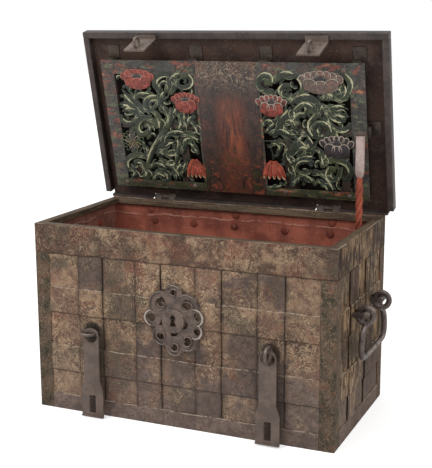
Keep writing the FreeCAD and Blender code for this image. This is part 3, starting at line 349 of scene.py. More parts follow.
def edged(f, work, colour):
    """Adds the pale tops of the cross straps and the rim, rubbed and with a painted highlight, a painted
    shadow under the straps and the band, and dark seams with painted shadow and painted shade beside the
    uprights.
    """
    broken = f.between(f.cloud(40.0, 5.0, 0.75), 0.44, 0.54)
    wander = f.total(work.up, f.between(f.cloud(14.0, 2.0), 0.3, 0.7, -0.0015, 0.0015))
    # Pale line along the top edge of the wall: rubbed paint with a painted highlight.
    rim = f.times(f.line(work.up, BODY_TALL, 0.0016), f.between(f.cloud(9.0, 3.0), 0.44, 0.56, 0.1, 0.8))
    colour = f.blend(rim, colour, WALL_TOP_WEAR_AND_HIGHLIGHT)
    # Pale lines on the tops of the cross straps and the foot band: rubbed paint with a painted highlight.
    for top in [middle + STRAP_WIDE / 2 for middle in STRAP_Z] + [FOOT_HIGH]:
        bright = f.times(f.line(wander, top - 0.0012, 0.0023), broken)
        colour = f.blend(f.times(bright, 0.85), colour, STRAP_TOP_WEAR_AND_HIGHLIGHT)
    # Painted shadow under the cross straps and the top band.
    for bottom in [middle - STRAP_WIDE / 2 for middle in STRAP_Z] + [BAND_LOW]:
        colour = f.blend(f.times(f.line(wander, bottom, 0.0034), 0.75), colour, SHADOW_BELOW_STRAPS)
    # Dark seams at the uprights' edges, partly painted shadow, and painted shade beside them.
    reach = f.sums("ABSOLUTE", work.along)
    seam = f.times(work.woven, f.between(f.cloud(16.0, 3.0, 0.6), 0.36, 0.60, 0.45, 0.98))
    for edge in work.edges:
        colour = f.blend(f.times(f.line(reach, edge, 0.0034), seam), colour, SEAM_AND_SHADOW_BESIDE)
        near = f.times(f.line(reach, edge, 0.014), work.woven)
        colour = f.blend(f.times(near, 0.35), colour, SHADE_BESIDE)
    return colour


def paint_coat(f, letter, bare, tint, streaks=0.0):
    """Colour, roughness and height of crazed oil paint over iron, its own shade in each square of the
    strap work. More of it is rubbed bare where bare is high."""
    work = StrapWork(f, letter)
    grain = PaintGrain(f, streaks)
    mask = rubbed_share(f, work, grain, bare)
    colour = f.blend(f.times(mask, 0.92), coat_colour(f, work, grain, tint), bare_iron(f, grain))
    colour = edged(f, work, grimed(f, work, grain, colour))
    rough = f.between(mask, 0.0, 1.0, 0.66, 0.85 if streaks else 0.50)
    height = f.total(f.times(grain.fine, 1.1), f.times(f.rest_of(mask), 0.5), f.times(grain.flake, 0.3),
                     f.times(grain.curl, 1.6))
    return colour, rough, height


def lead_coat(f, base, dark, light, drips=0.5):
    """Colour, roughness and height of matt lead paint, run and sooty."""
    broad = f.cloud(9.0, 4.0, 0.6)
    fine = f.cloud(160.0, 5.0, 0.7)
    run = f.cloud(48.0, 4.0, 0.6, f.stretched(1.0, 1.0, 0.12))
    colour = f.blend(f.between(broad, 0.38, 0.66), base, dark)
    colour = f.blend(f.between(run, 0.50, 0.70, 0.0, drips), colour, dark)
    colour = f.blend(f.between(fine, 0.56, 0.74, 0.0, 0.7), colour, light)
    # A ridge drawn as a painted highlight with a painted shadow below it.
    ledge = f.total(f.axis("Z"), f.between(f.cloud(11.0, 3.0), 0.3, 0.7, -0.005, 0.005))
    broken = f.between(f.cloud(30.0, 4.0, 0.7), 0.40, 0.55)
    colour = f.blend(f.times(f.line(ledge, LEDGE_Z, 0.0035), f.times(broken, 0.6)), colour, light)
    colour = f.blend(f.times(f.line(ledge, LEDGE_FOOT_Z, 0.004), 0.5), colour, dark)
    return colour, 0.72, f.total(fine, run)


def rosette_shaded(f, colour):
    """Adds a painted shadow round the rosette."""
    return f.blend(f.times(f.around(ROSETTE_MIDDLE, 0.066, 0.094), 0.8), colour, ROSETTE_SHADE)


def hasp_shaded(f, colour):
    """Adds painted shade round the hasps' eyes, and the painted shadow, with some stain, that the hasps leave
    below them.
    """
    for x, z in HASP_EYES:
        # Painted shade in the hasps' eyes.
        colour = f.blend(f.times(f.around((x, -HALF_DEEP, z), 0.020, 0.030), 0.85), colour, EYE_SHADE)
        # Painted shadow with some stain below each hasp.
        across = f.line(f.axis("X"), x + 0.004, 0.048)
        behind = f.times(across, f.between(f.axis("Z"), z + 0.01, z - 0.02))
        behind = f.times(behind, f.sums("LESS_THAN", f.axis("Y"), 0.0))
        colour = f.blend(f.times(behind, 0.75), colour, HASP_SHADE)
    return colour


def worn_paint(name, letter, bare, tint, streaks=0.0):
    """Worn paint on straps that run along the axis of the letter."""
    f = Finish(name, specular=0.04 if streaks else 0.18)
    colour, rough, height = paint_coat(f, letter, bare, tint, streaks)
    if letter == "X":
        colour = hasp_shaded(f, rosette_shaded(f, colour))
    f.colour(colour)
    f.roughness(rough)
    f.relief(height, 0.8, 0.0016)
    return f.material


def wall_paint(name, letter, side, bare, tint, streaks=0.0):
    """Worn paint on the outside of a wall and lead paint inside. side is the wall's sign on the axis
    that goes through it."""
    f = Finish(name, specular=0.04 if streaks else 0.18)
    through = "Y" if letter == "X" else "X"
    outer, outer_rough, outer_height = paint_coat(f, letter, bare, tint, streaks)
    inner, _, inner_height = lead_coat(f, *(LEAD_RED if through == "Y" else LEAD_BROWN))
    inside = f.sums("LESS_THAN", f.times(f.axis(through), side), WALL_INSIDE[through] + MM)
    if through == "Y" and side < 0:
        # Painted shade, near black, in the keyhole, over the painted shadow round the rosette.
        outer = f.blend(f.around(KEYHOLE, 0.016, 0.022), rosette_shaded(f, outer), KEYHOLE_SHADE)
    height = f.total(f.times(outer_height, f.rest_of(inside)), f.times(inner_height, inside))
    f.colour(f.blend(inside, outer, inner))
    f.roughness(f.total(outer_rough, f.times(inside, 0.08)))
    f.relief(height, 0.5, 0.0012)
    return f.material


def lead_paint(name, base, dark, light, drips=0.5):
    f = Finish(name, specular=0.18)
    colour, rough, height = lead_coat(f, base, dark, light, drips)
    f.colour(colour)
    f.roughness(rough)
    f.relief(height, 0.4, 0.001)
    return f.material


def lid_lining(name):
    """Worn paint on top of the lid, and sooty paint inside it, with a painted shade almost black behind the
    lock cover.
    """
    f = Finish(name, specular=0.15)
    outer, _, _ = paint_coat(f, "X", 0.40, FRONT_TINT)
    f.lay_flat()
    colour, rough, height = lead_coat(f, *LID_BROWN)
    colour = f.blend(f.between(f.cloud(30.0, 5.0, 0.65), 0.52, 0.64, 0.0, 0.6), colour, LID_SMOKE)
    x = f.sums("ABSOLUTE", f.total(f.axis("X"), -COVER_X))
    y = f.sums("ABSOLUTE", f.total(f.axis("Y"), -COVER_Y))
    # Painted shade behind the lock cover.
    behind = f.times(f.between(x, 0.400, 0.380), f.between(y, 0.200, 0.180))
    top = f.sums("GREATER_THAN", f.axis("Z"), LID_MIDDLE)
    f.colour(f.blend(top, f.blend(f.times(behind, 0.85), colour, LID_SHADE_BEHIND_COVER), outer))
    f.roughness(rough)
    f.relief(height, 0.4, 0.001)
    return f.material


# ---------------------------------------------------------------- iron and the cover's paints
# Edges are rubbed bright, with a painted highlight, before the smaller y, and not behind the larger one.
RUBBED_AND_LIT_EDGES_Y = (0.222, 0.220)


def forged(name, dark, mid, light, roughness=0.5, metallic=0.25, scale=1.0, rust=None, edge=None, speck=0.7,
           curls=0.0, drawn=None, sheen=0.3):
    """Hammered iron with a skin of old wax and rust. edge is the colour of its upward edges, rubbed and with
    a painted highlight, and drawn is the stretch of its grain."""
    f = Finish(name, roughness=roughness, metallic=metallic, specular=sheen)
    broad = f.cloud(110.0, 5.0, 0.65, f.stretched(*drawn)) if drawn else f.cloud(22.0 * scale, 5.0, 0.65)
    fine = f.cloud(190.0 * scale, 6.0, 0.7)
    colour = f.blend(f.between(broad, 0.38, 0.62), dark, mid)
    colour = f.blend(f.between(fine, 0.52, 0.70, 0.0, speck), colour, light)
    if rust:
        colour = f.blend(f.between(f.cloud(46.0, 5.0, 0.7), 0.54, 0.66, 0.0, 0.8), colour, rust)
    if curls:
        curl = f.cloud(50.0, 4.0, 0.55, None, 2.2)
        colour = f.blend(f.times(f.line(curl, 0.53, 0.022), curls), colour, light)
        colour = f.blend(f.times(f.line(curl, 0.48, 0.026), curls), colour, "231b17")
    colour = f.blend(f.between(f.pits(260.0 * scale), 0.0, 0.35, 0.35, 0.0), colour, "1b1513")
    # Upward-facing edges: rubbed paint with a painted highlight.
    if edge:
        slope = f.line(f.facing("Z"), 0.68, 0.34)
        rubbed = f.times(slope, f.between(f.cloud(40.0, 4.0, 0.7), 0.38, 0.54))
        rubbed = f.times(rubbed, f.between(f.axis("Y"), *RUBBED_AND_LIT_EDGES_Y))
        colour = f.blend(f.times(rubbed, 0.85), colour, edge)
    f.colour(colour)
    f.roughness(f.between(fine, 0.3, 0.7, roughness - 0.08, roughness + 0.12))
    f.relief(f.total(f.times(fine, 0.7), f.times(broad, 1.2)), 0.5, 0.0012)
    return f.material


def oil_paint(name, base, shade, light, accents=(), wear=0.5, scale=2.0):
    """Thin decorative oil paint on the lock cover, rubbed and darkened with varnish."""
    f = Finish(name, roughness=0.5, specular=0.4)
    middle = f.cloud(42.0 * scale, 4.0, 0.6)
    fine = f.cloud(240.0 * scale, 5.0, 0.7)
    colour = f.blend(f.between(middle, 0.36, 0.62), base, shade)
    for accent, size in accents:
        colour = f.blend(f.between(f.cloud(size, 3.0, 0.55), 0.56, 0.62, 0.0, 0.85), colour, accent)
    colour = f.blend(f.between(fine, 0.52, 0.70), colour, light)
    rubbed = f.cloud(75.0 * scale, 5.0, 0.7)
    bare = f.between(rubbed, 0.66 - 0.2 * wear, 0.74 - 0.2 * wear, 0.0, 0.8)
    f.colour(f.blend(bare, colour, "241b16"))
    f.relief(f.total(fine, f.times(middle, 0.5)), 0.3, 0.0008)
    return f.material


def panel_paint(name):
    """The middle of the lock cover: red and umber paint rubbed almost bare, in long upright strokes."""
    f = Finish(name, roughness=0.48, specular=0.4)
    f.lay_flat()
    drawn = f.cloud(75.0, 6.0, 0.7, f.stretched(1.0, 0.14, 1.0), 0.6)
    patch = f.cloud(24.0, 5.0, 0.65)
    curl = f.cloud(30.0, 4.0, 0.55, None, 2.0)
    fine = f.cloud(260.0, 5.0, 0.75)
    down = f.axis("Y")
    from_middle = f.sums("ABSOLUTE", f.total(f.axis("X"), 0.002))
    colour = f.blend(f.between(patch, 0.38, 0.62), "43312a", "272120")
    warm = f.times(f.between(from_middle, 0.066, 0.018), f.between(down, -0.12, -0.04))
    colour = f.blend(f.times(warm, f.between(patch, 0.36, 0.56, 0.25, 0.95)), colour, "643528")
    bright = f.times(f.between(from_middle, 0.040, 0.010), f.between(down, 0.12, 0.06))
    bright = f.times(bright, f.between(down, -0.10, -0.05))
    colour = f.blend(f.times(bright, f.between(drawn, 0.46, 0.62, 0.0, 0.75)), colour, "945338")
    side = f.between(from_middle, 0.050, 0.085)
    colour = f.blend(f.times(side, f.between(curl, 0.53, 0.58, 0.0, 0.5)), colour, "66382b")
    colour = f.blend(f.between(drawn, 0.46, 0.36, 0.0, 0.8), colour, "1e1917")
    foot = f.between(down, 0.04, 0.14)
    colour = f.blend(f.times(foot, f.between(curl, 0.56, 0.60, 0.0, 0.75)), colour, "84452f")
    colour = f.blend(f.times(foot, f.between(patch, 0.55, 0.62, 0.0, 0.7)), colour, "393a24")
    head = f.between(down, -0.08, -0.16)
    colour = f.blend(f.times(head, f.times(f.line(curl, 0.5, 0.02), 0.9)), colour, "a08f78")
    colour = f.blend(f.times(head, f.between(fine, 0.50, 0.60, 0.0, 0.6)), colour, "7d6a58")
    f.colour(f.blend(f.between(fine, 0.56, 0.68, 0.0, 0.6), colour, "8a6654"))
    f.relief(f.total(fine, drawn), 0.35, 0.001)
    return f.material


def border_paint(name):
    """The edge of the lock cover: dark green with rows of red and ochre dabs, mossy at its foot."""
    f = Finish(name, roughness=0.5, specular=0.4)
    f.lay_flat()
    patch = f.cloud(26.0, 5.0, 0.65)
    fine = f.cloud(230.0, 5.0, 0.72)
    dabs = f.cloud(44.0, 3.0, 0.5, f.stretched(0.5, 1.3, 1.0), 0.4)
    specks = f.cloud(48.0, 3.0, 0.5, f.stretched(0.6, 1.3, 1.4), 0.4)
    colour = f.blend(f.between(patch, 0.40, 0.60), "3d3d38", "262320")
    colour = f.blend(f.between(f.cloud(13.0, 3.0, 0.6), 0.48, 0.60, 0.0, 0.8), colour, "4a3a33")
    foot = f.between(f.axis("Y"), 0.165, 0.180)
    colour = f.blend(f.times(foot, f.between(patch, 0.36, 0.56, 0.5, 0.9)), colour, "35371f")
    colour = f.blend(f.between(specks, 0.57, 0.62, 0.0, 0.75), colour, "565c40")
    colour = f.blend(f.between(dabs, 0.585, 0.625, 0.0, 0.75), colour, "753a2b")
    colour = f.blend(f.between(dabs, 0.665, 0.70, 0.0, 0.8), colour, "a0704f")
    colour = f.blend(f.between(fine, 0.54, 0.68, 0.0, 0.7), colour, "84756a")
    f.colour(f.blend(f.between(f.cloud(90.0, 5.0, 0.7), 0.53, 0.61, 0.0, 0.75), colour, "1f1a17"))
    f.relief(f.total(fine, f.times(patch, 0.6)), 0.35, 0.001)
    return f.material


# Each edge colour below is for rubbed upward edges that also carry a painted highlight.
RIM_TONES = ("41342a", "655443", "988770")
RIM_WEAR_AND_LIT_EDGES = {"roughness": 0.6, "metallic": 0.0, "edge": "a69a8b", "sheen": 0.12}
DRAWN_ALONG, DRAWN_ACROSS = (0.08, 1.0, 1.0), (1.0, 0.08, 1.0)
FINISH = {
    "front straps": worn_paint("paint_on_front_straps", "X", 0.50, FRONT_TINT),
    "uprights": worn_paint("paint_on_uprights", "X", 0.58, FRONT_TINT),
    "side": worn_paint("paint_on_side", "Y", 0.50, SIDE_TINT, 0.85),
    "front wall": wall_paint("paint_on_front_wall", "X", -1.0, 0.36, FRONT_TINT),
    "back wall": wall_paint("paint_on_back_wall", "X", 1.0, 0.40, FRONT_TINT),
    "left wall": wall_paint("paint_on_left_wall", "Y", -1.0, 0.42, SIDE_TINT, 0.85),
    "right wall": wall_paint("paint_on_right_wall", "Y", 1.0, 0.42, SIDE_TINT, 0.85),
    "lid top": worn_paint("paint_on_lid_top", "X", 0.60, FRONT_TINT),
    "corner": forged("corner_iron_skin", "3a372e", "5e4e43", "8d7a64", 0.75, 0.0, rust="6a4836", curls=0.7,
                     sheen=0.06),
    "rim along": forged("rim_skin_along", *RIM_TONES, **RIM_WEAR_AND_LIT_EDGES, drawn=DRAWN_ALONG),
    "rim across": forged("rim_skin_across", *RIM_TONES, **RIM_WEAR_AND_LIT_EDGES, drawn=DRAWN_ACROSS),
    "lid rim": forged("lid_rim_skin", "2f2826", "423835", "665b54", 0.5, 0.1, edge="7d736b", speck=0.5,
                      curls=0.3),
    "red": lead_paint("red_lead_paint", *LEAD_RED),
    "lid red": lid_lining("lid_paint"),
    "cover": border_paint("cover_border_paint"),
    "panel": panel_paint("cover_panel_paint"),
    "leaf": oil_paint("leaf_green", "2d3426", "181c13", "434a35", (("3c4127", 15.0), ("2f3733", 19.0)), 0.34),
    "leaf light": oil_paint("leaf_light", "566049", "434e38", "78836a", (("6e714e", 22.0),), 0.25),
    "shade": oil_paint("leaf_shade", "1c211a", "131611", "2a3224", (), 0.2),
    "cream": oil_paint("cream_strokes", "b6b192", "83845f", "d0cbb2", (), 0.22, 2.5),
    "poppy": oil_paint("bloom_red", "8e4135", "5e251e", "ad6656", (), 0.36),
    "poppy light": oil_paint("bloom_red_light", "b06757", "8d483b", "c68e7d", (), 0.2),
    "grey bloom": oil_paint("bloom_grey", "6c5a50", "4a3d38", "8b7b70", (("6e4a40", 33.0),), 0.25),
    "dark bloom": oil_paint("bloom_dark", "322a2b", "221d1e", "54494a", (), 0.25),
    "tulip": oil_paint("bloom_orange", "a94a31", "80301f", "c4745a", (), 0.2),
    "petal edge": oil_paint("petal_edge", "a8988a", "85756a", "c4b8ab", (), 0.15),
    "yellow": oil_paint("yellow_dots", "a8944f", "80703a", "c0ae6c", (), 0.15, 2.5),
    "lock": forged("lock_iron_skin", "2c2420", "43382f", "6a5b4d", 0.45, 0.3),
    "iron": forged("bare_iron_skin", "51453f", "62544c", "7d6f66", 0.5, 0.15, rust="5b4538", edge="93867a",
                   speck=0.35),
    "rosette": forged("rosette_skin", "463a35", "62534a", "8f8177", 0.45, 0.2, 1.6, edge="b3a79c", speck=0.6),
    "handle": forged("handle_skin", "3f3532", "574a46", "8a7d75", 0.45, 0.15, 1.5, edge="9a8c84"),
    "grip": forged("handle_grip_skin", "4d423e", "6d5f59", "a0938a", 0.45, 0.15, 1.5, edge="b0a49a"),
    "bright iron": forged("rubbed_iron_skin", "857a71", "a0968b", "c8bfb4", 0.38, 0.25, 1.5),
    "stay rod": lead_paint("stay_rod_paint", "a85741", "703628", "d89c80", 0.3),
    "stay blade": forged("stay_blade_skin", "8d7973", "ab9791", "c9bab3", 0.45, 0.1, 1.5, speck=0.5),
    "rivet": lead_paint("rivet_paint", "854536", "55291f", "b08475", 0.2),
}
NODE_FINISH = {
    "front_cross_straps": "front straps", "back_cross_straps": "front straps",
    "front_upright_straps": "uprights", "back_upright_straps": "uprights",
    "left_cross_straps": "side", "right_cross_straps": "side",
    "left_upright_straps": "side", "right_upright_straps": "side",
    "front_plate": "front wall", "back_plate": "back wall", "left_plate": "left wall",
    "right_plate": "right wall", "floor_plate": "red", "wall_rivets": "rivet", "lid_plate": "lid red",
    "lid_long_straps": "lid top", "lid_short_straps": "lid top", "cover_rivets": "rivet",
    "stay_bracket": "red", "stay_catch": "iron", "lock_rosette": "rosette", "keyhole_cover": "iron",
}
# The finish of every other node whose name starts like this. The first that fits counts.
GROUP_FINISH = {
    "corner_iron": "corner", "rim_front": "rim along", "rim_back": "rim along", "rim_": "rim across",
    "lid_rim": "lid rim", "hasp": "iron", "handle": "handle", "hinge": "iron", "lid_tab": "iron",
    "lid_hinge": "iron",
}


def finish_of(name):
    if name in NODE_FINISH:
        return FINISH[NODE_FINISH[name]]
    for start, finish in GROUP_FINISH.items():
        if name.startswith(start):
            return FINISH[finish]
    return FINISH["lock"]


# ---------------------------------------------------------------- making pieces
class Piece:
    """Shapes with their finishes, gathered into one mesh that rides a body and stands for CAD nodes."""

    def __init__(self, name):
        self.name = name
        self.shape = bmesh.new()
        self.finishes = []

    def add(self, part, material):
        """Takes in a shape. Its gentle edges are smooth, and material may be the key of a finish."""
        if isinstance(material, str):
            material = FINISH[material]
        if material not in self.finishes:
            self.finishes.append(material)
        for edge in part.edges:
            edge.smooth = len(edge.link_faces) == 2 and edge.calc_face_angle(0.0) < math.radians(38)
        for face in part.faces:
            face.smooth = True
            face.material_index = self.finishes.index(material)
        draft = bpy.data.meshes.new("draft")
        part.to_mesh(draft)
        part.free()
        self.shape.from_mesh(draft)
        bpy.data.meshes.remove(draft)
        return self

    def stand(self, *stands_for, on_lid=False):
        """Puts the piece in the scene. With on_lid it was drawn on the shut lid and is turned with it."""
        if on_lid:
            self.shape.transform(LID)
        mesh = bpy.data.meshes.new(self.name)
        self.shape.to_mesh(mesh)
        self.shape.free()
        for material in self.finishes:
            mesh.materials.append(material)
        thing = bpy.data.objects.new(self.name, mesh)
        bpy.context.collection.objects.link(thing)
        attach(thing, owner[stands_for[0]])
        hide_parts(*stands_for)
        return thing


def cad_shape(name):
    """A merged copy of a CAD node, its flat faces whole again."""
    node = nodes[name]
    shape = bmesh.new()
    shape.from_mesh(node.data)
    shape.transform(node.matrix_world)
    bmesh.ops.remove_doubles(shape, verts=shape.verts, dist=0.01 * MM)
    bmesh.ops.dissolve_limit(shape, angle_limit=math.radians(0.5), verts=shape.verts, edges=shape.edges)
    return shape


def whole(shape):
    return shape.verts[:] + shape.edges[:] + shape.faces[:]


def close_cut(shape):
    """Caps the open edge that a cut has left."""
    bmesh.ops.contextual_create(shape, geom=[edge for edge in shape.edges if edge.is_boundary])


def round_edges(shape, width, segments=2, steeper=40):
    """Takes the sharpness off every edge steeper than the angle."""
    sharp = [edge for edge in shape.edges
             if len(edge.link_faces) == 2 and edge.calc_face_angle(0.0) > math.radians(steeper)]
    bmesh.ops.bevel(shape, geom=sharp, offset=width, offset_type="OFFSET", segments=segments, profile=0.5,
                    affect="EDGES", clamp_overlap=True, material=-1)
    return shape


def curve_shape(curve):
    """The curve as a mesh shape."""
    holder = bpy.data.objects.new("draft", curve)
    bpy.context.collection.objects.link(holder)
    seen = holder.evaluated_get(bpy.context.evaluated_depsgraph_get())
    shape = bmesh.new()
    shape.from_mesh(seen.to_mesh())
    seen.to_mesh_clear()
    bpy.data.objects.remove(holder)
    bpy.data.curves.remove(curve)
    bmesh.ops.remove_doubles(shape, verts=shape.verts, dist=0.005 * MM)
    bmesh.ops.recalc_face_normals(shape, faces=shape.faces)
    return shape


def round_bars(lines, fine, steps):
    """Round bars along smooth lines, each a list of (point, radius) in millimetres."""
    curve = bpy.data.curves.new("draft", "CURVE")
    curve.dimensions = "3D"
    curve.bevel_depth = MM
    curve.bevel_resolution = fine
    curve.use_fill_caps = True
    for line in lines:
        spline = curve.splines.new("BEZIER")
        spline.resolution_u = steps
        spline.bezier_points.add(len(line) - 1)
        for knot, (point, radius) in zip(spline.bezier_points, line):
            knot.co = Vector(point) * MM
            knot.radius = radius
            knot.handle_left_type = knot.handle_right_type = "AUTO"
    return curve_shape(curve)


def flat_sheet(outlines, low, high, rounding):
    """A sheet between two heights in millimetres. The first outline is its edge and the others are holes."""
    curve = bpy.data.curves.new("draft", "CURVE")
    curve.dimensions = "2D"
    curve.fill_mode = "BOTH"
    curve.extrude = ((high - low) / 2 - rounding) * MM
    curve.bevel_depth = rounding * MM
    curve.bevel_resolution = 1
    curve.offset = -rounding * MM
    for outline in outlines:
        spline = curve.splines.new("POLY")
        spline.points.add(len(outline) - 1)
        spline.use_cyclic_u = True
        for knot, (x, y) in zip(spline.points, outline):
            knot.co = (x * MM, y * MM, 0.0, 1.0)
    shape = curve_shape(curve)
    bmesh.ops.translate(shape, verts=shape.verts, vec=(0.0, 0.0, (low + high) / 2 * MM))
    return shape


def rectangle(x_low, x_high, y_low, y_high):
    return [(x_low, y_low), (x_high, y_low), (x_high, y_high), (x_low, y_high)]


def arc(x, y, radius, angles):
    """Places on a circle at the angles, in degrees."""
    return [(x + radius * math.cos(math.radians(a)), y + radius * math.sin(math.radians(a))) for a in angles]


def twisted_strands(start, way, long, strands, offset, radius, turns):
    """Strands laid round a line, like a rope, in millimetres. way is the letter of the line's axis."""
    lines = []
    steps = int(turns * 14)
    for strand in range(strands):
        line = []
        for i in range(steps + 1):
            t = i / steps
            a = math.tau * (strand / strands + turns * t)
            reach = offset * (0.45 + 0.55 * min(1.0, 6 * t, 6 * (1 - t)))
            u, v = reach * math.cos(a), reach * math.sin(a)
            shift = Vector((u, long * t, v)) if way == "Y" else Vector((u, v, long * t))
            line.append((Vector(start) + shift, radius))
        lines.append(line)
    return round_bars(lines, 3, 2)


def dome(place, way, radius, tall):
    """A rivet head on a face whose outward direction is way."""
    shape = bmesh.new()
    bmesh.ops.create_uvsphere(shape, u_segments=20, v_segments=12, radius=1.0)
    bmesh.ops.bisect_plane(shape, geom=whole(shape), plane_co=(0, 0, 0), plane_no=(0, 0, 1), clear_inner=True)
    close_cut(shape)
    turn = Vector(way).to_track_quat("Z", "Y").to_matrix().to_4x4()
    size = Matrix.Diagonal((radius, radius, tall, 1.0))
    shape.transform(Matrix.Translation(place) @ turn @ size)
    bmesh.ops.recalc_face_normals(shape, faces=shape.faces)
    return shape


# ---------------------------------------------------------------- the lock cover, in millimetres
LEAF, CURL, VINE, TWIG = "leaf", "curl", "vine", "twig"
UPPER, LOWER, PLAIN = 1, -1, 0
GOLDEN_ANGLE = math.radians(137.5)
COVER_ENDS = (-192.5, 202)
COVER_THICK = 3
COVER_LOW = (COVER_MIDDLE - 0.0015) / MM
LEFT_SIDES, MIDDLE_SIDES, RIGHT_SIDES = (-400, -98.6), (-98, 84), (84.6, 392)
LEFT_WINDOW = (-360, -106, -150, 178)
RIGHT_WINDOW = (92, 349, -150, 178)
# The curls behind the scroll leaves: how far below them, how far apart and how big they are.
UNDER_SINK, UNDER_PITCH, UNDER_REACH = 1.9, 29.0, 12.5


def leaf_swell(t):
    """Full before its middle, then down almost to a point."""
    return 0.42 + 0.58 * math.sin(math.pi * min(1.0, t * 1.5)) if t < 0.5 else 1.0 - 1.7 * (t - 0.5)


SWELL = {
    LEAF: leaf_swell,
    CURL: lambda t: 0.55 + 0.45 * math.sin(math.pi * (0.15 + 0.6 * t)),
    VINE: lambda t: 1.0 - 0.45 * t,
    TWIG: lambda t: 1.0 - 0.4 * t,
}
# Each stroke is its kind, half width, lit side and the places it runs through.
LEFT_SCROLL = (
    (VINE, 10, LOWER, ((-181, -51), (-194, -15), (-222, 24), (-248, 57), (-272, 94), (-286, 129),
     (-295, 179))),
    (CURL, 9, UPPER, ((-185, -95), (-168, -118), (-172, -142), (-196, -152), (-224, -139),
     (-230, -118), (-215, -105))),
    (CURL, 5, UPPER, ((-217, -109), (-212, -123), (-198, -129), (-188, -118))),
    (LEAF, 9, UPPER, ((-200, -98), (-181, -127), (-160, -149), (-133, -155))),
    (CURL, 7, LOWER, ((-178, -150), (-160, -141), (-159, -121), (-140, -113), (-118, -122),
     (-115, -141), (-130, -151), (-144, -142))),
    (LEAF, 10, UPPER, ((-276, -34), (-298, -61), (-323, -81), (-341, -105))),
    (LEAF, 10, UPPER, ((-281, -25), (-306, -49), (-333, -60), (-357, -57))),
    (LEAF, 10, LOWER, ((-278, -22), (-302, -34), (-327, -42), (-351, -36))),
    (CURL, 8, LOWER, ((-288, -43), (-306, -12), (-332, 1), (-353, -8), (-359, -26))),
    (LEAF, 8, UPPER, ((-309, -67), (-293, -85), (-267, -91), (-236, -89))),
    (LEAF, 8, UPPER, ((-242, -50), (-219, -74), (-207, -92), (-200, -104))),
    (CURL, 8, UPPER, ((-257, -35), (-271, -50), (-264, -74), (-237, -83), (-216, -74))),
    (CURL, 5, UPPER, ((-242, -50), (-254, -56), (-250, -68), (-232, -71), (-220, -65))),
    (LEAF, 8, LOWER, ((-251, -44), (-234, -26), (-229, -1), (-236, 24))),
    (LEAF, 7, LOWER, ((-221, -63), (-204, -45), (-198, -21), (-205, 10))),
    (CURL, 8, UPPER, ((-238, 11), (-254, -13), (-279, -17), (-303, 1), (-303, 26), (-284, 32), (-265, 18))),
    (LEAF, 6, LOWER, ((-283, 6), (-265, 0), (-263, 15), (-269, 25))),
    (LEAF, 8, LOWER, ((-173, -40), (-158, -22), (-162, 3), (-181, 22))),
    (LEAF, 8, UPPER, ((-200, -8), (-184, -27), (-173, -43), (-170, -58))),
    (CURL, 6, UPPER, ((-157, 9), (-139, -4), (-132, -19), (-112, -29))),
    (LEAF, 6, LOWER, ((-135, -13), (-120, -7), (-112, 11), (-111, 30))),
    (LEAF, 8, UPPER, ((-252, 67), (-215, 36), (-174, 22), (-140, 31))),
    (LEAF, 8, LOWER, ((-169, 32), (-142, 24), (-118, 36), (-106, 45))),
    (LEAF, 8, UPPER, ((-169, 90), (-160, 63), (-148, 44), (-125, 43))),
    (LEAF, 7, UPPER, ((-192, 115), (-181, 81), (-175, 54), (-182, 32))),
    (LEAF, 9, LOWER, ((-253, 93), (-229, 66), (-204, 52), (-181, 54))),
    (LEAF, 8, LOWER, ((-248, 83), (-225, 86), (-199, 91), (-184, 74))),
    (LEAF, 7, UPPER, ((-280, 118), (-280, 94), (-281, 78), (-290, 68))),
    (LEAF, 7, LOWER, ((-244, 103), (-230, 119), (-206, 122), (-184, 107))),
    (CURL, 8, UPPER, ((-279, 111), (-305, 100), (-333, 103), (-357, 121), (-358, 146), (-337, 148))),
    (CURL, 6, UPPER, ((-307, 158), (-300, 133), (-315, 120), (-334, 127))),
    (LEAF, 7, LOWER, ((-355, 149), (-337, 148), (-336, 163), (-354, 181))),
    (LEAF, 7, LOWER, ((-317, 130), (-298, 140), (-294, 161), (-311, 179))),
    (LEAF, 7, UPPER, ((-284, 143), (-265, 128), (-241, 130), (-226, 144))),
    (CURL, 7, LOWER, ((-282, 171), (-254, 148), (-230, 151), (-223, 172), (-238, 181))),
    (LEAF, 7, UPPER, ((-276, 181), (-260, 163), (-242, 164), (-233, 172))),
    (LEAF, 7, UPPER, ((-232, 109), (-214, 133), (-196, 149), (-185, 173))),
    (LEAF, 7, LOWER, ((-199, 174), (-203, 149), (-186, 125), (-165, 117))),
    (LEAF, 6, UPPER, ((-116, 88), (-124, 65), (-133, 56), (-141, 47))),
    (LEAF, 8, LOWER, ((-184, 159), (-178, 138), (-170, 124), (-158, 106))),
    (LEAF, 6, UPPER, ((-150, 3), (-146, -13), (-146, -28), (-145, -37))),
)
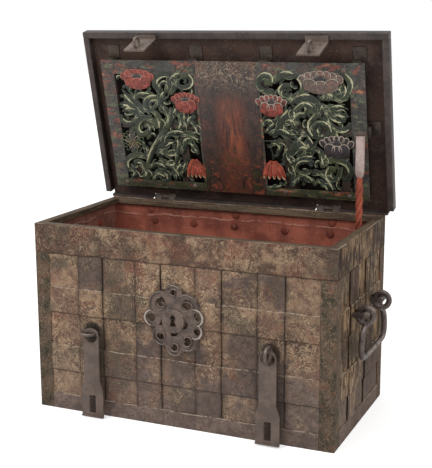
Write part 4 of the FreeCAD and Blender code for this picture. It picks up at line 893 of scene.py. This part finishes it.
RIGHT_SCROLL = (
    (CURL, 8, UPPER, ((134, -108), (108, -109), (89, -124), (92, -147), (112, -157), (127, -147),
     (122, -133), (107, -134))),
    (LEAF, 10, UPPER, ((133, -133), (152, -153), (179, -161), (204, -151))),
    (VINE, 11, UPPER, ((193, -79), (212, -102), (219, -127), (209, -149), (187, -158))),
    (CURL, 7, UPPER, ((195, -99), (180, -93), (160, -98), (151, -111), (162, -126), (182, -126))),
    (CURL, 4, UPPER, ((184, -107), (174, -95), (160, -98), (158, -109), (170, -115))),
    (LEAF, 9, UPPER, ((170, -78), (194, -87), (223, -99), (249, -97))),
    (VINE, 10, LOWER, ((217, -91), (243, -89), (259, -70), (251, -44), (233, -26), (232, 0),
     (248, 19), (267, 36))),
    (CURL, 8, UPPER, ((188, -4), (184, -27), (192, -56), (216, -74), (238, -66), (235, -49))),
    (CURL, 5, UPPER, ((208, -45), (220, -51), (223, -66), (214, -71))),
    (CURL, 7, UPPER, ((201, -16), (193, -31), (203, -45), (220, -40))),
    (CURL, 8, LOWER, ((297, -101), (321, -91), (344, -111), (351, -138), (335, -159), (322, -160))),
    (LEAF, 8, LOWER, ((299, -93), (322, -99), (334, -119), (329, -140))),
    (LEAF, 8, UPPER, ((285, -87), (300, -104), (314, -118), (325, -110))),
    (LEAF, 8, UPPER, ((263, -89), (283, -98), (294, -101), (296, -90))),
    (LEAF, 7, UPPER, ((267, -75), (289, -65), (318, -71), (342, -64))),
    (LEAF, 8, LOWER, ((278, -70), (300, -60), (322, -49), (344, -44))),
    (LEAF, 8, LOWER, ((275, -65), (289, -48), (310, -32), (333, -30))),
    (LEAF, 7, UPPER, ((272, -64), (280, -42), (282, -25), (292, -11))),
    (LEAF, 8, UPPER, ((260, -41), (266, -56), (273, -70), (268, -81))),
    (CURL, 7, LOWER, ((282, -37), (293, -17), (312, -4), (334, -8), (349, -25))),
    (CURL, 8, UPPER, ((242, 22), (238, -4), (253, -21), (276, -19), (286, 0), (274, 21))),
    (CURL, 5, UPPER, ((271, 9), (260, 10), (255, -1), (261, -10))),
    (LEAF, 6, UPPER, ((293, -14), (300, -3), (305, 11), (308, 22))),
    (LEAF, 11, UPPER, ((134, 4), (148, -23), (168, -47), (178, -67))),
    (LEAF, 8, LOWER, ((154, -15), (172, -24), (185, -45), (180, -61))),
    (CURL, 7, UPPER, ((164, 11), (159, -9), (169, -24), (183, -16), (179, -1))),
    (LEAF, 9, UPPER, ((109, 16), (134, 7), (158, 9), (180, 25))),
    (VINE, 7, UPPER, ((164, 5), (186, 22), (208, 44), (239, 66))),
    (VINE, 6, UPPER, ((202, 1), (222, 20), (240, 49))),
    (VINE, 6, LOWER, ((211, 6), (204, 24), (192, 30))),
    (LEAF, 12, LOWER, ((171, 76), (184, 51), (208, 44), (237, 63))),
    (LEAF, 8, UPPER, ((206, 77), (219, 58), (226, 43), (215, 32))),
    (LEAF, 7, LOWER, ((161, 47), (159, 70), (167, 91), (181, 103))),
    (LEAF, 6, UPPER, ((178, 96), (200, 83), (224, 79), (241, 81))),
    (CURL, 5, UPPER, ((228, 118), (203, 129), (183, 118), (193, 98), (217, 94), (228, 107))),
    (LEAF, 7, LOWER, ((246, 51), (260, 65), (264, 89), (257, 109))),
    (LEAF, 7, UPPER, ((257, 109), (270, 88), (274, 73), (271, 62))),
    (CURL, 8, LOWER, ((258, 105), (273, 88), (302, 85), (330, 94), (341, 118), (329, 142))),
    (CURL, 7, UPPER, ((313, 104), (303, 136), (285, 145), (273, 131), (281, 110), (298, 113))),
    (LEAF, 7, LOWER, ((227, 131), (257, 125), (279, 149), (298, 179))),
    (LEAF, 6, UPPER, ((245, 121), (265, 139), (281, 165), (287, 181))),
    (LEAF, 6, LOWER, ((238, 145), (256, 152), (270, 166), (275, 182))),
    (LEAF, 7, UPPER, ((178, 159), (197, 140), (218, 143), (234, 165))),
    (LEAF, 7, LOWER, ((165, 171), (173, 143), (171, 116), (163, 97))),
    (TWIG, 2, PLAIN, ((84, 37), (114, 36), (144, 37), (186, 31))),
    (LEAF, 5, UPPER, ((101, 11), (111, -1), (124, -13), (131, -25))),
    (LEAF, 7, UPPER, ((93, -6), (100, -18), (116, -22), (124, -13))),
    (TWIG, 2, PLAIN, ((115, 91), (114, 70), (106, 52), (98, 47))),
    (LEAF, 7, LOWER, ((113, 49), (129, 39), (140, 54), (132, 72))),
    (LEAF, 6, UPPER, ((88, 178), (110, 179), (129, 174), (141, 165))),
)
LEFT_BLOOMS = (
    ("poppy", (-285, -136, 92, 64, "poppy", "poppy light")),
    ("poppy", (-139, -69, 72, 66, "poppy", "poppy light")),
    ("shaggy", (-326, 56, 76, 68)),
    ("bell", (-130, 131, 56, 62)),
)
RIGHT_BLOOMS = (
    ("poppy", (269, -138, 110, 70, "grey bloom", "petal edge")),
    ("poppy", (123, -69, 74, 68, "poppy", "petal edge")),
    ("poppy", (305, 45, 80, 72, "dark bloom", "petal edge")),
    ("bell", (115, 122, 64, 60)),
)


def sampled(points, count=11):
    """Evenly many places on a smooth line through the points."""
    ends = [points[0]] + list(points) + [points[-1]]
    places = []
    for i in range(count):
        t = i / (count - 1) * (len(points) - 1)
        k = min(int(t), len(points) - 2)
        t -= k
        a, b, c, d = (Vector(p) for p in ends[k:k + 4])
        places.append(0.5 * (2 * b + (c - a) * t + (2 * a - 5 * b + 4 * c - d) * t ** 2
                             + (3 * b - a - 3 * c + d) * t ** 3))
    return places


def heading(places, i):
    """The direction of a line of places at one of them."""
    return (places[min(i + 1, len(places) - 1)] - places[max(i - 1, 0)]).normalized()


def brushed(places, widths):
    """The places with their half widths, as a stroke wants them."""
    return [(place.x, place.y, width) for place, width in zip(places, widths)]


class Artwork:
    """Brush strokes in relief on the shut lid's lock cover, sorted by finish, height and flatness."""

    def __init__(self):
        self.strokes = {}
        self.sink = 0.0

    def stroke(self, finish, line, rise, flat):
        """line is a list of (x, y, half width). rise is towards the viewer of the open lid, and flat is the
        stroke's height for each millimetre of half width."""
        self.strokes.setdefault((finish, rise - self.sink, flat), []).append(line)

    def undergrowth(self, x_low, x_high, y_low, y_high):
        """Small curled leaves low down in the gaps of the scroll work, each turned its own way."""
        self.sink = UNDER_SINK
        across = int((x_high - x_low) / UNDER_PITCH)
        for i in range(across * int((y_high - y_low) / UNDER_PITCH)):
            row, column = divmod(i, across)
            middle = Vector((x_low + (column + 0.5 + 0.5 * (row % 2)) * UNDER_PITCH,
                             y_low + (row + 0.6) * UNDER_PITCH))
            turn = GOLDEN_ANGLE * i
            bend = 1 if i % 2 else -1
            curl = [middle + UNDER_REACH * (1 - 0.12 * k)
                    * Vector((math.cos(turn + bend * k), math.sin(turn + bend * k))) for k in range(4)]
            if all(x_low + 3 < p.x < x_high - 3 and y_low + 3 < p.y < y_high - 3 for p in curl):
                self.leaf(CURL, 4.0, PLAIN if i % 3 else bend, [tuple(p) for p in curl])
        self.sink = 0.0

    def beside(self, finish, places, halves, share, weight, start, stop, rise):
        """A tapered stroke along part of a leaf, at a share of its half width to one side."""
        last = len(places) - 1
        edge = []
        for i in range(int(start * last), int(stop * last) + 1):
            way = heading(places, i)
            t = (i / last - start) / (stop - start)
            off = share * halves[i]
            edge.append((places[i].x + way.y * off, places[i].y - way.x * off,
                         weight * (0.16 + 0.84 * math.sin(math.pi * min(1.0, max(0.0, t))))))
        self.stroke(finish, edge, rise, 0.45)

    def leaf(self, kind, half, light, points):
        """A green stroke with a cream touch along one edge, a dark shade along the other and side lobes."""
        swell = SWELL[kind]
        places = sampled(points)
        last = len(places) - 1
        fuller = 1.0 if kind == TWIG else 1.2
        halves = [max(0.7, half * fuller * swell(i / last)) for i in range(last + 1)]
        self.stroke("leaf", brushed(places, halves), 0.6, 0.16)
        if light == PLAIN:
            return
        self.beside("shade", places, halves, -0.55 * light, 1.3, 0.0, 1.0, 1.5)
        self.beside("leaf light", places, halves, 0.34 * light, 1.1, 0.05, 0.70, 1.6)
        self.beside("cream", places, halves, 0.58 * light, 0.8 + 0.22 * half, 0.46, 0.86, 2.0)
        self.beside("cream", places, halves, 0.80 * light, 0.8, 0.08, 0.32, 2.0)
        if half >= 5:
            for at in range(2, last - 1, 2):
                self.feather("cream" if at % 4 == 2 else "shade", places, halves, at, light)
        if kind == LEAF and half >= 6:
            for at, turn in ((3, 1), (5, -1), (7, 1)):
                self.lobe(places, halves, at, turn * light)

    def grown(self, places, halves, at, side, steps):
        """A line that leaves a leaf. Each step is a share of its half width outward and one along it."""
        way = heading(places, at)
        out = Vector((way.y, -way.x)) * side
        size = halves[at]
        return [places[at] + out * size * a + way * size * b for a, b in steps]

    def feather(self, finish, places, halves, at, light):
        """A fine stroke that curves from a leaf's middle out to its lit edge."""
        line = self.grown(places, halves, at, light, ((-0.15, -0.6), (0.20, 0.1), (0.62, 0.5)))
        self.stroke(finish, brushed(line, (0.5, 1.0, 0.7)), 1.8, 0.45)

    def lobe(self, places, halves, at, side):
        """A small curled lobe that grows out of the side of a leaf."""
        size = halves[at]
        steps = ((0.2, -0.4), (0.9, 0.2), (1.45, 1.2), (1.3, 2.1))
        line = self.grown(places, halves, at, side, steps)
        self.stroke("leaf", brushed(line, [size * w for w in (0.42, 0.46, 0.32, 0.10)]), 0.5, 0.2)
        way = heading(places, at)
        edge = [p + Vector((way.y, -way.x)) * side * size * 0.16 for p in line]
        light = "cream" if side > 0 and at == 5 else "leaf light"
        self.stroke(light, brushed(edge, (0.5, 1.0, 1.2, 0.5)), 1.8, 0.45)

    def petal(self, x, y, wide, tall, finish, rim, rise, lean):
        """One broad rounded petal whose rim faces up in the picture."""
        turn = Matrix.Rotation(lean, 2)
        middle = Vector((x, y))
        body = [middle + turn @ Vector((0.0, tall * t)) for t in (0.36, 0.04, -0.28, -0.52)]
        self.stroke(finish, brushed(body, [wide * w for w in (0.30, 0.48, 0.46, 0.16)]), rise, 0.12)
        edge = [middle + turn @ Vector((wide * 0.52 * math.cos(a), -tall * 0.18 - tall * 0.42 * math.sin(a)))
                for a in (math.radians(d) for d in (-20, 20, 60, 90, 120, 160, 200))]
        self.stroke(rim, brushed(edge, (0.5, 1.3, 1.7, 1.2, 1.7, 1.3, 0.5)), rise + 0.9, 0.5)
        for a in (-24, -8, 8, 24):
            tip = Vector((math.sin(math.radians(a)) * wide * 0.9, -tall * 0.34))
            crease = [middle + turn @ Vector((tip.x * t, tall * 0.3 * (1 - t) + tip.y * t))
                      for t in (0.1, 0.5, 0.9)]
            self.stroke("shade", brushed(crease, (0.8, 0.8, 0.8)), rise + 0.7, 0.4)

    def poppy(self, x, y, wide, tall, finish, rim):
        """An open cup of a bloom, seen from the side: a scalloped back, a dark heart, three front petals."""
        self.stroke(finish, [(x - wide * 0.30, y, tall * 0.40), (x, y + tall * 0.04, tall * 0.46),
                             (x + wide * 0.30, y, tall * 0.40)], 1.2, 0.06)
        for i in range(7):
            t = (i - 3) / 3
            lift = math.sqrt(max(0.0, 1 - (0.86 * t) ** 2))
            self.petal(x + wide * 0.42 * t, y - tall * 0.30 * lift + tall * 0.10, wide * 0.21, tall * 0.44,
                       finish, rim, 2.0, 0.75 * t)
        self.stroke("dark bloom", [(x - wide * 0.17, y - tall * 0.08, tall * 0.13),
                                   (x, y - tall * 0.11, tall * 0.17),
                                   (x + wide * 0.17, y - tall * 0.08, tall * 0.13)], 3.1, 0.12)
        for i in range(9):
            t = (i - 4) / 4
            self.stroke("petal edge", [(x + wide * 0.13 * t, y - tall * 0.06, 0.5),
                                       (x + wide * 0.21 * t, y - tall * 0.22, 0.9)], 3.8, 0.4)
        for t, low in ((-1, 0.16), (1, 0.16), (0, 0.24)):
            self.petal(x + wide * 0.29 * t, y + tall * low, wide * 0.36, tall * 0.50, finish, rim, 3.4,
                       -0.35 * t)

    def bell(self, x, y, wide, tall):
        """A tulip that hangs from its stem, with pale streaks, cream tips and dark folds."""
        def line(*steps):
            return [(x + wide * across + aside, y + tall * down, half) for across, aside, down, half in steps]

        self.stroke("tulip", line((0, 0, -0.40, wide * 0.16), (0, 0, -0.05, wide * 0.36),
                                  (0, 0, 0.22, wide * 0.40)), 1.2, 0.08)
        for i in range(5):
            t = (i - 2) / 2
            self.stroke("tulip", line((0.10 * t, 0, -0.44, 3.0), (0.32 * t, 0, -0.08, wide * 0.125),
                                      (0.42 * t, 0, 0.24, wide * 0.12), (0.49 * t, 0, 0.50, 2.2)), 2.2, 0.2)
            self.stroke("poppy light", line((0.12 * t - 0.03, 0, -0.30, 0.6), (0.30 * t - 0.05, 0, 0, 1.5),
                                            (0.40 * t - 0.06, 0, 0.26, 1.0)), 3.6, 0.4)
            self.stroke("cream", line((0.42 * t, -3.5, 0.30, 0.6), (0.46 * t, -1.5, 0.44, 1.7),
                                      (0.50 * t, 1.5, 0.46, 1.2)), 3.8, 0.45)
            self.stroke("shade", line((0.11 * t + 0.06, 0, -0.40, 0.5), (0.33 * t + 0.09, 0, 0, 0.9),
                                      (0.40 * t + 0.10, 0, 0.34, 0.5)), 3.4, 0.4)

    def shaggy(self, x, y, wide, tall):
        """A bloom of many thin curled petals round a yellow middle."""
        self.stroke("dark bloom", [(x - wide * 0.14, y, tall * 0.50), (x + wide * 0.14, y, tall * 0.50)],
                    1.8, 0.05)
        for ring, (count, near, far) in enumerate(((15, 0.34, 1.0), (11, 0.22, 0.68))):
            steps = ((-0.02, near, 0.5), (-0.10, (near + far) / 2, 0.9), (0.0, far * 0.95, 1.1),
                     (0.13, far, 1.2), (0.24, far * 0.88, 0.6))
            for i in range(count):
                a = math.tau * (i + 0.5 * ring) / count
                line = [(x + math.cos(a + bend) * wide / 2 * t, y + math.sin(a + bend) * tall / 2 * t, half)
                        for bend, t, half in steps]
                self.stroke("petal edge" if ring and i % 2 else "leaf light", line, 2.7 + 0.5 * ring, 0.45)
        for i in range(30):
            a = i * 2.4
            reach = 2.5 * math.sqrt(i)
            dot_x = x + math.cos(a) * reach * 1.3
            dot_y = y + tall * 0.08 + math.sin(a) * reach
            self.stroke("yellow", [(dot_x - 1, dot_y, 1.1), (dot_x + 1, dot_y + 0.6, 1.0)], 4.0, 0.5)

    def shapes(self):
        """Each group of like strokes as one shape, pressed flat, with its finish."""
        for (finish, rise, flat), lines in self.strokes.items():
            level = COVER_MIDDLE / MM - rise
            shape = round_bars([[((x, y, level), half) for x, y, half in line] for line in lines], 2, 2)
            for point in shape.verts:
                point.co.z = (level + (point.co.z / MM - level) * flat) * MM
            yield shape, finish


def cover_plate(sides, *windows):
    """One of the cover's three plates, with its windows."""
    return flat_sheet([rectangle(*sides, *COVER_ENDS), *windows], COVER_LOW, COVER_LOW + COVER_THICK, 0.5)


def make_painted_cover(name, sides, window, scroll, blooms):
    """A side plate of the cover with its window, the scroll leaves in it and the blooms over them."""
    piece = Piece(name + "_painted")
    piece.add(cover_plate(sides, rectangle(*window)), "cover")
    art = Artwork()
    draw = {"poppy": art.poppy, "shaggy": art.shaggy, "bell": art.bell}
    art.undergrowth(*window)
    for kind, half, light, points in scroll:
        art.leaf(kind, half, light, points)
    for bloom, values in blooms:
        draw[bloom](*values)
    for shape, finish in art.shapes():
        piece.add(shape, finish)
    piece.stand(name, on_lid=True)


def make_covers():
    make_painted_cover("cover_left", LEFT_SIDES, LEFT_WINDOW, LEFT_SCROLL, LEFT_BLOOMS)
    make_painted_cover("cover_right", RIGHT_SIDES, RIGHT_WINDOW, RIGHT_SCROLL, RIGHT_BLOOMS)
    middle = Piece("cover_middle_painted").add(cover_plate(MIDDLE_SIDES), "panel")
    middle.stand("cover_middle", on_lid=True)


# ---------------------------------------------------------------- rivets
# How much wider the heads inside the walls are than their CAD solids.
WALL_RIVET_SPREAD = 1.55


def rivet_solids(name):
    """The points of each solid of a rivet node, at rest."""
    shape = cad_shape(name)
    left = set(shape.verts)
    while left:
        island = {left.pop()}
        front = list(island)
        while front:
            for edge in front.pop().link_edges:
                for point in edge.verts:
                    if point in left:
                        left.remove(point)
                        island.add(point)
                        front.append(point)
        yield [point.co.copy() for point in island]
    shape.free()


def make_rivets():
    """A dome for each flat CAD rivet, on its thin side. Those on the lid face down when it is shut, and
    those in the walls face the middle of the chest."""
    for name, finish, on_lid in (("wall_rivets", "rivet", False), ("cover_rivets", "iron", True)):
        piece = Piece(name + "_domed")
        turn = LID.inverted() if on_lid else Matrix.Identity(4)
        spread = 1.0 if on_lid else WALL_RIVET_SPREAD
        for points in rivet_solids(name):
            points = [turn @ point for point in points]
            low = Vector([min(point[i] for point in points) for i in range(3)])
            high = Vector([max(point[i] for point in points) for i in range(3)])
            size = high - low
            middle = (low + high) / 2
            thin = min(range(3), key=lambda i: size[i])
            sign = -1.0 if on_lid or middle[thin] > 0 else 1.0
            way = Vector([sign if i == thin else 0.0 for i in range(3)])
            seat = middle - way * size[thin] / 2
            piece.add(dome(seat, way, max(size) / 2 * spread, size[thin]), finish)
        piece.stand(name, on_lid=on_lid)


# ---------------------------------------------------------------- stay and handles
# How far above its pivot the stay's eye ends and its rod starts, and how far below its tip the rod ends.
EYE_TOP, ROD_START, ROD_END = 0.0145, 0.010, 0.112
# The flat end of the stay, in millimetres, with its tip at 0.
BLADE = ((-12, 0), (12, 0), (12, -100), (9, -109), (4, -114.5), (-4, -114.5), (-9, -109), (-12, -100))
BLADE_HALF = 4
# The handles, in millimetres: their pivots, their grips and each arm, as places beside the middle and
# below the pivot with half its thickness there.
HANDLE_X, HANDLE_Z = 463.0, 325.0
GRIP_HALF, GRIP_DROP = 64.0, 110.0
HANDLE_ARM = ((72, 19, 7.4), (92, 31, 8.0), (108, 52, 8.2), (115, 82, 8.0), (104, 104, 7.8), (80, 110, 7.4),
              (62, 111, 6.6))
SCROLL_Y, SCROLL_RADIUS = 80, 20


def make_stay():
    pivot = Vector(joints["stay_fold"]["pos_m"])
    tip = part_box("stay")[1].z
    eye = cad_shape("stay")
    bmesh.ops.bisect_plane(eye, geom=whole(eye), plane_co=(0, 0, pivot.z + EYE_TOP), plane_no=(0, 0, 1),
                           clear_outer=True)
    close_cut(eye)
    start = pivot + Vector((0.0, 0.0, ROD_START))
    long = tip - ROD_END - start.z
    blade = flat_sheet([BLADE], -BLADE_HALF, BLADE_HALF, 1.2)
    blade.transform(Matrix.Translation((pivot.x, pivot.y, tip)) @ Matrix.Rotation(math.radians(90), 4, "X"))
    piece = Piece("stay_forged")
    piece.add(round_edges(eye, 0.8 * MM), "stay rod")
    piece.add(twisted_strands(start / MM, "Z", long / MM, 3, 5.1, 5.1, 1.75), "stay rod")
    piece.add(blade, "stay blade")
    piece.stand("stay")


def handle_scroll(x, y, sign):
    """The curled end of an arm, round its pivot and leaning along it."""
    curl = []
    for i in range(15):
        a = math.radians(-78 + i * 24)
        out, down = SCROLL_RADIUS * math.sin(a), SCROLL_RADIUS * math.cos(a)
        curl.append(((x + out * sign, y + (i - 7) * 0.55, HANDLE_Z - down), 7.8 - 0.16 * max(0, i - 9)))
    return curl


def make_handle(side, sign):
    name = "handle_" + side
    x = sign * HANDLE_X
    low = HANDLE_Z - GRIP_DROP
    bars = [[((x, end * aside, HANDLE_Z - drop), half) for aside, drop, half in HANDLE_ARM]
            for end in (-1, 1)]
    bars += [handle_scroll(x, end * SCROLL_Y, sign) for end in (-1, 1)]
    core = [((x, y, low), 3.4) for y in (-GRIP_HALF, 0, GRIP_HALF)]
    piece = Piece(name + "_forged")
    piece.add(round_bars(bars, 4, 5), "handle")
    piece.add(twisted_strands((x, -GRIP_HALF, low), "Y", 2 * GRIP_HALF, 3, 5.0, 3.7, 2.6), "grip")
    piece.add(round_bars([core], 3, 4), "lock")
    piece.stand(name)


# ---------------------------------------------------------------- rosette, in millimetres
ROSETTE_FACE = (HALF_DEEP + 0.003) / MM
BOSS_RADIUS = 32.6
BOSS_RISE = (1, 8.4)
KEYHOLE_ROUND = (-8, 306, 7.4, range(-65, 246, 15))
KEYHOLE_FOOT = [(-17.5, 283.5), (1.5, 283.5)]
# Parts of rings: x, z, radius and the angles where each starts and stops.
BRIGHT_ARCS = ((-70, 300, 21, 100, 260), (52, 312, 23, -70, 100), (52, 276, 20, -110, 60))
DARK_ARCS = ((-44, 338, 34, 60, 230), (28, 336, 34, -50, 120), (-8, 372, 20, 20, 160),
             (30, 248, 27, -140, 20), (-44, 254, 24, 150, 300), (-6, 228, 24, 200, 340))


def thick_arc(x, z, radius, start, stop, rise, thin, swell):
    """Part of a ring on the face of the rosette, swelling to its middle, as a line of a round bar."""
    places = arc(x, z, radius, [start + (stop - start) * i / 8 for i in range(9)])
    return [((px, -ROSETTE_FACE - rise, pz), thin + swell * math.sin(math.pi * i / 8))
            for i, (px, pz) in enumerate(places)]


def inner_curl(x, z, radius, start):
    """A curl that winds in from a ring of the rosette and gets thinner."""
    curl = []
    for i in range(10):
        px, pz = arc(x, z, radius * (0.62 - 0.045 * i), [start + 30 + 38 * i])[0]
        curl.append(((px, -ROSETTE_FACE - 2.8, pz), 1.7 - 0.08 * i))
    return curl


def make_rosette():
    x, _, z = (value / MM for value in ROSETTE_MIDDLE)
    outlines = [arc(x, z, BOSS_RADIUS, [i * 7.5 for i in range(48)]), arc(*KEYHOLE_ROUND) + KEYHOLE_FOOT]
    boss = flat_sheet(outlines, ROSETTE_FACE + BOSS_RISE[0], ROSETTE_FACE + BOSS_RISE[1], 2.6)
    boss.transform(Matrix.Rotation(math.radians(90), 4, "X"))
    dark = []
    for ring in DARK_ARCS:
        dark.append(thick_arc(*ring, 2.8, 0.8, 1.3))
        dark.append(inner_curl(*ring[:4]))
    piece = Piece("lock_rosette_forged")
    piece.add(round_edges(cad_shape("lock_rosette"), 0.9 * MM), "rosette")
    piece.add(boss, "rosette")
    piece.add(round_bars([thick_arc(*ring, 3.4, 1.0, 2.2) for ring in BRIGHT_ARCS], 3, 5), "bright iron")
    piece.add(round_bars(dark, 3, 4), "rosette")
    piece.stand("lock_rosette")


# ---------------------------------------------------------------- worn straps, bars and lock parts
# How far the edges of each node are rounded, in millimetres.
EDGE_WEAR = {
    "front_cross_straps": 0.9, "back_cross_straps": 0.9, "left_cross_straps": 0.9, "right_cross_straps": 0.9,
    "front_upright_straps": 0.8, "back_upright_straps": 0.8, "left_upright_straps": 0.8,
    "right_upright_straps": 0.8, "rim_front": 1.6, "rim_back": 1.4, "rim_left": 1.6, "rim_right": 1.6,
    "corner_iron_front_left": 1.6, "corner_iron_front_right": 1.6, "corner_iron_back_left": 1.6,
    "corner_iron_back_right": 1.6, "lid_rim_front": 1.8, "lid_rim_left": 1.8, "lid_rim_right": 1.8,
    "lid_rim_back": 1.0, "hasp_right": 1.0, "hasp_left": 1.0, "lid_tab_right": 1.0, "lid_tab_left": 1.0,
    "hasp_eye_right": 0.5, "hasp_eye_left": 0.5, "handle_staples_left": 1.4, "handle_staples_right": 1.4,
    "hinge_back_leaves": 0.8, "lid_hinge_leaves": 0.8, "lid_long_straps": 0.8, "lid_short_straps": 0.8,
    "bolt_guides_front": 0.8, "bolt_guides_back": 0.8, "bolt_guides_side": 0.8, "stay_catch": 0.6,
    "stay_bracket": 0.8, "drive_bar_right": 0.7, "drive_bar_left": 0.7, "front_bolts": 0.8,
    "back_bolts": 0.8, "keyhole_cover": 0.6, "hub_bush": 0.5, "lock_hub": 0.4,
}
# Outlines across a hinge, as y and z in millimetres, and how far each goes to both sides of its middle.
# They are filler sheets under and behind the knuckles, put where only shade shows.
UNDER_KNUCKLE = ((241.0, 514.0), (249.0, 514.0), (250.9, 526.3), (248.5, 525.5), (244.5, 525.7),
                 (241.8, 526.7))
BEHIND_LEAF = ((225.2, 507.0), (236.0, 512.0), (241.5, 523.0), (241.0, 526.0), (225.2, 527.8))
KNUCKLE_SHEET_HALF, LEAF_SHEET_HALF = 16.0, 35.0
# The lid's back rim: what lies below and before this place is its front lower edge. The ends of its
# hinge notches are at NOTCH_X, in millimetres, and come NOTCH_SHIFT closer to the leaves.
RIM_EDGE_Y, RIM_EDGE_Z = 0.2275, 0.529
RIM_EDGE_SHIFT = Vector((0.0, 0.3, 0.8))
NOTCH_X, NOTCH_SHIFT = 295.5, 0.85


def hinge_filler_sheet(x, half, edge):
    """A filler sheet on a back leaf, put where only shade shows, with the outline edge across it, half to the
    left and half to the right of x.
    """
    web = flat_sheet([edge], -half, half, 0.4)
    turn = Matrix(((0, 0, 1, 0), (1, 0, 0, 0), (0, 1, 0, 0), (0, 0, 0, 1)))
    web.transform(Matrix.Translation((x, 0.0, 0.0)) @ turn)
    return web


def narrow_notches(shape):
    """Brings the back rim close to the hinge leaves and the chest, so that no light shows between them."""
    for point in shape.verts:
        if point.co.y < RIM_EDGE_Y and point.co.z < RIM_EDGE_Z:
            point.co -= RIM_EDGE_SHIFT * MM
        if abs(abs(point.co.x) - NOTCH_X * MM) < 0.2 * MM:
            point.co.x -= math.copysign(NOTCH_SHIFT * MM, point.co.x)


def make_worn_parts():
    for name, width in EDGE_WEAR.items():
        shape = cad_shape(name)
        if name == "lid_rim_back":
            narrow_notches(shape)
        piece = Piece(name + "_worn").add(round_edges(shape, width * MM), finish_of(name))
        if name == "hinge_back_leaves":
            # Filler sheets at the hinges, where only shade shows.
            for x in (-HINGE_X, HINGE_X):
                piece.add(hinge_filler_sheet(x, KNUCKLE_SHEET_HALF, UNDER_KNUCKLE), finish_of(name))
                piece.add(hinge_filler_sheet(x, LEAF_SHEET_HALF, BEHIND_LEAF), finish_of(name))
        piece.stand(name)


for name, node in nodes.items():
    node.data.materials.clear()
    node.data.materials.append(finish_of(name))
make_worn_parts()
make_covers()
make_rivets()
make_stay()
make_handle("left", -1)
make_handle("right", 1)
make_rosette()


# ---------------------------------------------------------------- stage, light and camera
WHITE = (1.0, 1.0, 1.0, 1.0)
FLOOR_COLOUR = (0.92, 0.92, 0.92, 1.0)
FLOOR_HALF, FLOOR_GLOW = 14.0, 0.45
DAYLIGHT = 0.75
LAMPS_AIM = Vector((0, 0, 0.5))
CAMERA_PLACE = (1.1378, -2.5979, 1.0843)
CAMERA_YAW, CAMERA_PITCH, CAMERA_ROLL = -23.87, -12.017, -0.316
CAMERA_LENS = 80.65
CAMERA_SHIFT = (0.0172, 0.003)


def camera_sees(tree):
    """1 for the rays that show the background itself or its reflection."""
    path = tree.nodes.new("ShaderNodeLightPath")
    share = path.outputs["Is Camera Ray"]
    for name in ("Is Glossy Ray", "Is Transmission Ray"):
        step = tree.nodes.new("ShaderNodeMath")
        step.operation = "MAXIMUM"
        tree.links.new(share, step.inputs[0])
        tree.links.new(path.outputs[name], step.inputs[1])
        share = step.outputs[0]
    return share


def make_stage():
    """A pale floor that meets the white background and keeps the chest's soft shadow."""
    shape = bmesh.new()
    bmesh.ops.create_grid(shape, x_segments=1, y_segments=1, size=FLOOR_HALF)
    mesh = bpy.data.meshes.new("floor_sheet")
    shape.to_mesh(mesh)
    shape.free()
    floor = bpy.data.objects.new("studio_floor", mesh)
    bpy.context.collection.objects.link(floor)
    skin = Finish("floor_paint", roughness=0.95, specular=0.0)
    skin.colour(FLOOR_COLOUR)
    tree = skin.tree
    glow = tree.nodes.new("ShaderNodeEmission")
    glow.inputs["Color"].default_value = WHITE
    tree.links.new(skin.times(camera_sees(tree), FLOOR_GLOW), glow.inputs["Strength"])
    both = tree.nodes.new("ShaderNodeAddShader")
    tree.links.new(skin.shader.outputs[0], both.inputs[0])
    tree.links.new(glow.outputs[0], both.inputs[1])
    tree.links.new(both.outputs[0], tree.nodes["Material Output"].inputs["Surface"])
    mesh.materials.append(skin.material)


def make_world():
    """Daylight on the chest, and plain white where the camera sees past it."""
    world = bpy.data.worlds.new("studio")
    bpy.context.scene.world = world
    world.use_nodes = True
    tree = world.node_tree
    tree.nodes.clear()
    mixed = tree.nodes.new("ShaderNodeMixShader")
    tree.links.new(camera_sees(tree), mixed.inputs[0])
    for socket, strength in zip(mixed.inputs[1:], (DAYLIGHT, 1.0)):
        light = tree.nodes.new("ShaderNodeBackground")
        light.inputs["Color"].default_value = WHITE
        light.inputs["Strength"].default_value = strength
        tree.links.new(light.outputs[0], socket)
    tree.links.new(mixed.outputs[0], tree.nodes.new("ShaderNodeOutputWorld").inputs[0])


def make_lamp(name, place, size, watts):
    """A square lamp that faces the middle of the chest."""
    data = bpy.data.lights.new(name, "AREA")
    data.shape = "SQUARE"
    data.size = size
    data.energy = watts
    lamp = bpy.data.objects.new(name, data)
    lamp.location = place
    lamp.rotation_euler = (LAMPS_AIM - Vector(place)).to_track_quat("-Z", "Y").to_euler()
    bpy.context.collection.objects.link(lamp)


def make_camera():
    data = bpy.data.cameras.new("camera")
    data.sensor_width = 36.0
    data.lens = CAMERA_LENS
    data.shift_x, data.shift_y = CAMERA_SHIFT
    camera = bpy.data.objects.new("camera", data)
    turn = Matrix.Rotation(math.radians(-CAMERA_YAW), 4, "Z")
    tilt = Matrix.Rotation(math.radians(90 + CAMERA_PITCH), 4, "X")
    roll = Matrix.Rotation(math.radians(CAMERA_ROLL), 4, "Z")
    camera.matrix_world = Matrix.Translation(CAMERA_PLACE) @ turn @ tilt @ roll
    bpy.context.collection.objects.link(camera)
    bpy.context.scene.camera = camera


make_stage()
make_world()
make_lamp("key_lamp", (-1.6, -2.6, 2.8), 1.8, 60)
make_lamp("fill_lamp", (2.6, -1.4, 1.8), 1.6, 22)
make_camera()
bpy.context.scene.view_settings.view_transform = "Standard"
